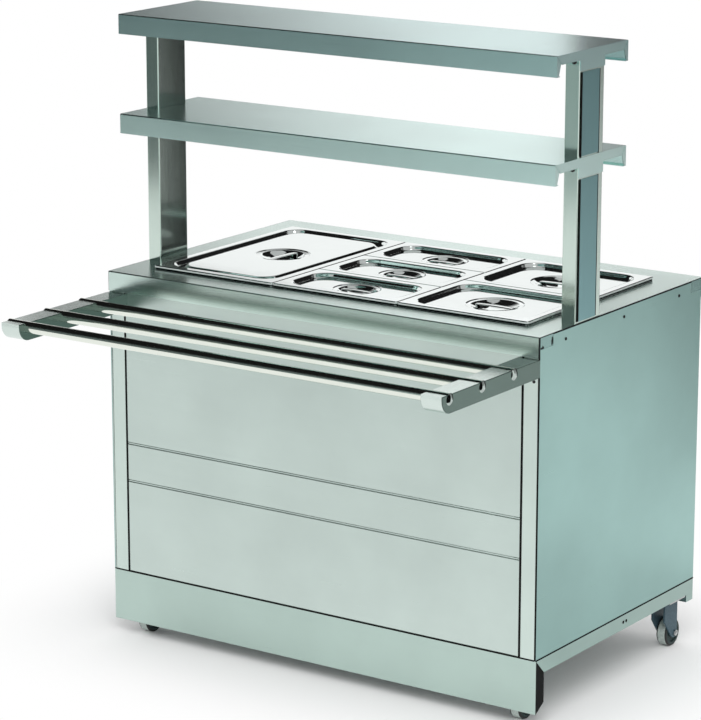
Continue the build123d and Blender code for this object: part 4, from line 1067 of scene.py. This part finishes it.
def dark_cloth(name, size, location, turn=0, shades=(0.01, 0.01), slope=(0, 1), tint=(1, 1, 1)):
    """A cloth that only mirror-like surfaces see, its shade running between two values along a slope."""
    let_go()
    bpy.ops.mesh.primitive_cube_add(size=1, location=location, rotation=(0, 0, radians(turn)), scale=size)
    cloth = bpy.context.object
    cloth.name = name
    weave, tree, shader, place = new_finish(name, shine=0.0)
    feed(tree, shader.inputs["Roughness"], 1.0)
    along = reckon(tree, "VectorMath", place, ("DOT_PRODUCT", (slope[0], 0, slope[1])))
    shade = add_node(tree, "MapRange", Value=along, From_Min=-0.5, From_Max=0.5,
                     To_Min=shades[0], To_Max=shades[1]).outputs["Result"]
    feed(tree, shader.inputs["Base Color"], reckon(tree, "VectorMath", shade, ("MULTIPLY", tint)))
    cloth.data.materials.append(weave)
    cloth.visible_camera = False
    cloth.visible_diffuse = False
    cloth.visible_shadow = False


cool_tint = (0.86, 1.04, 1.03)
dark_cloth("ceiling_cloth", (4.2, 9, 0.01), (-3.4, -1.5, 4.2))
dark_cloth("ceiling_cloth_pale", (6.3, 9, 0.01), (1.85, -1.5, 4.2), 0, (0.53, 0.53))
dark_cloth("front_cloth_low", (6.8, 0.01, 1.6), (-2.6, -4.8, 0.8), -20, (0.39, 0.145), (-2.6, 1), cool_tint)
dark_cloth("front_cloth_high", (4.4, 0.01, 2.6), (-3.95, -4.31, 2.9), -20, (0.1, 0.02), tint=cool_tint)
dark_cloth("tube_cloth", (0.01, 0.42, 0.45), (0.85, -0.44, 0.775))
dark_cloth("floor_cloth_side", (0.9, 0.8, 0.01), (1.15, 0.55, 0.01), 0, (0.68, 0.75), (1, 0))
dark_cloth("right_cloth_near", (1.3, 0.01, 4.2), (0.95, 2.6, 2.1))
dark_cloth("floor_cloth_near", (1.0, 0.7, 0.01), (0.8, 2.25, 0.01))
dark_cloth("right_cloth_low", (4.5, 0.01, 0.9), (3.75, 2.6, 0.45), 0, (0.9, 0.3))
dark_cloth("right_cloth_high", (4.5, 0.01, 3.3), (3.75, 2.6, 2.55), 0, (0.3, 0.1))
dark_cloth("back_cloth_left", (3.0, 0.01, 1.3), (-2.1, 3.0, 2.35), 0, (0.13, 1.0), (0.7, -0.6))
dark_cloth("back_cloth_high", (6.6, 0.01, 1.3), (-3.3, 3.0, 3.65))
dark_cloth("back_cloth_middle", (1.5, 0.01, 2.7), (-0.3, 2.7, 3.05))
dark_cloth("back_cloth_low", (0.9, 0.01, 0.8), (0.0, 2.7, 1.3))


def area_lamp(name, size, power, location):
    """Add a square lamp that shines straight down."""
    bpy.ops.object.light_add(type="AREA", location=location)
    lamp = bpy.context.object
    lamp.name = name
    lamp.data.size = size
    lamp.data.energy = power
    return lamp


lamp_aim = Vector((0, 0.2, 0.6))
soft_lamp = area_lamp("soft_lamp", 3.0, 120.0, (2.5, -3.5, 4.0))
soft_lamp.rotation_euler = (lamp_aim - soft_lamp.location).to_track_quat("-Z", "Y").to_euler()
soft_lamp.visible_glossy = False
area_lamp("spark_lamp", 0.5, 2.5, (0.95, 0.15, 4.15))

# Camera: placed and turned to match the photograph, on its 701 by 720 frame.
# It stands at the front right, higher than the shelves, and looks slightly down.
yaw = radians(34.552)
pitch = radians(13.996)
distance = 6.86263
sideways = -0.09185
upwards = 0.0119
aim = Vector((0, 0.133, 0.65))
back = Vector((sin(yaw) * cos(pitch), -cos(yaw) * cos(pitch), sin(pitch)))
right = Vector((cos(yaw), sin(yaw), 0))
up = back.cross(right)
bpy.ops.object.camera_add(location=aim + back * distance + right * sideways + up * upwards)
camera = bpy.context.object
camera.rotation_euler = Matrix((right, up, back)).transposed().to_euler()
camera.data.lens = 153.94
camera.data.sensor_width = 36
camera.data.clip_end = 100
bpy.context.scene.camera = camera
bpy.context.scene.view_settings.view_transform = "Standard"
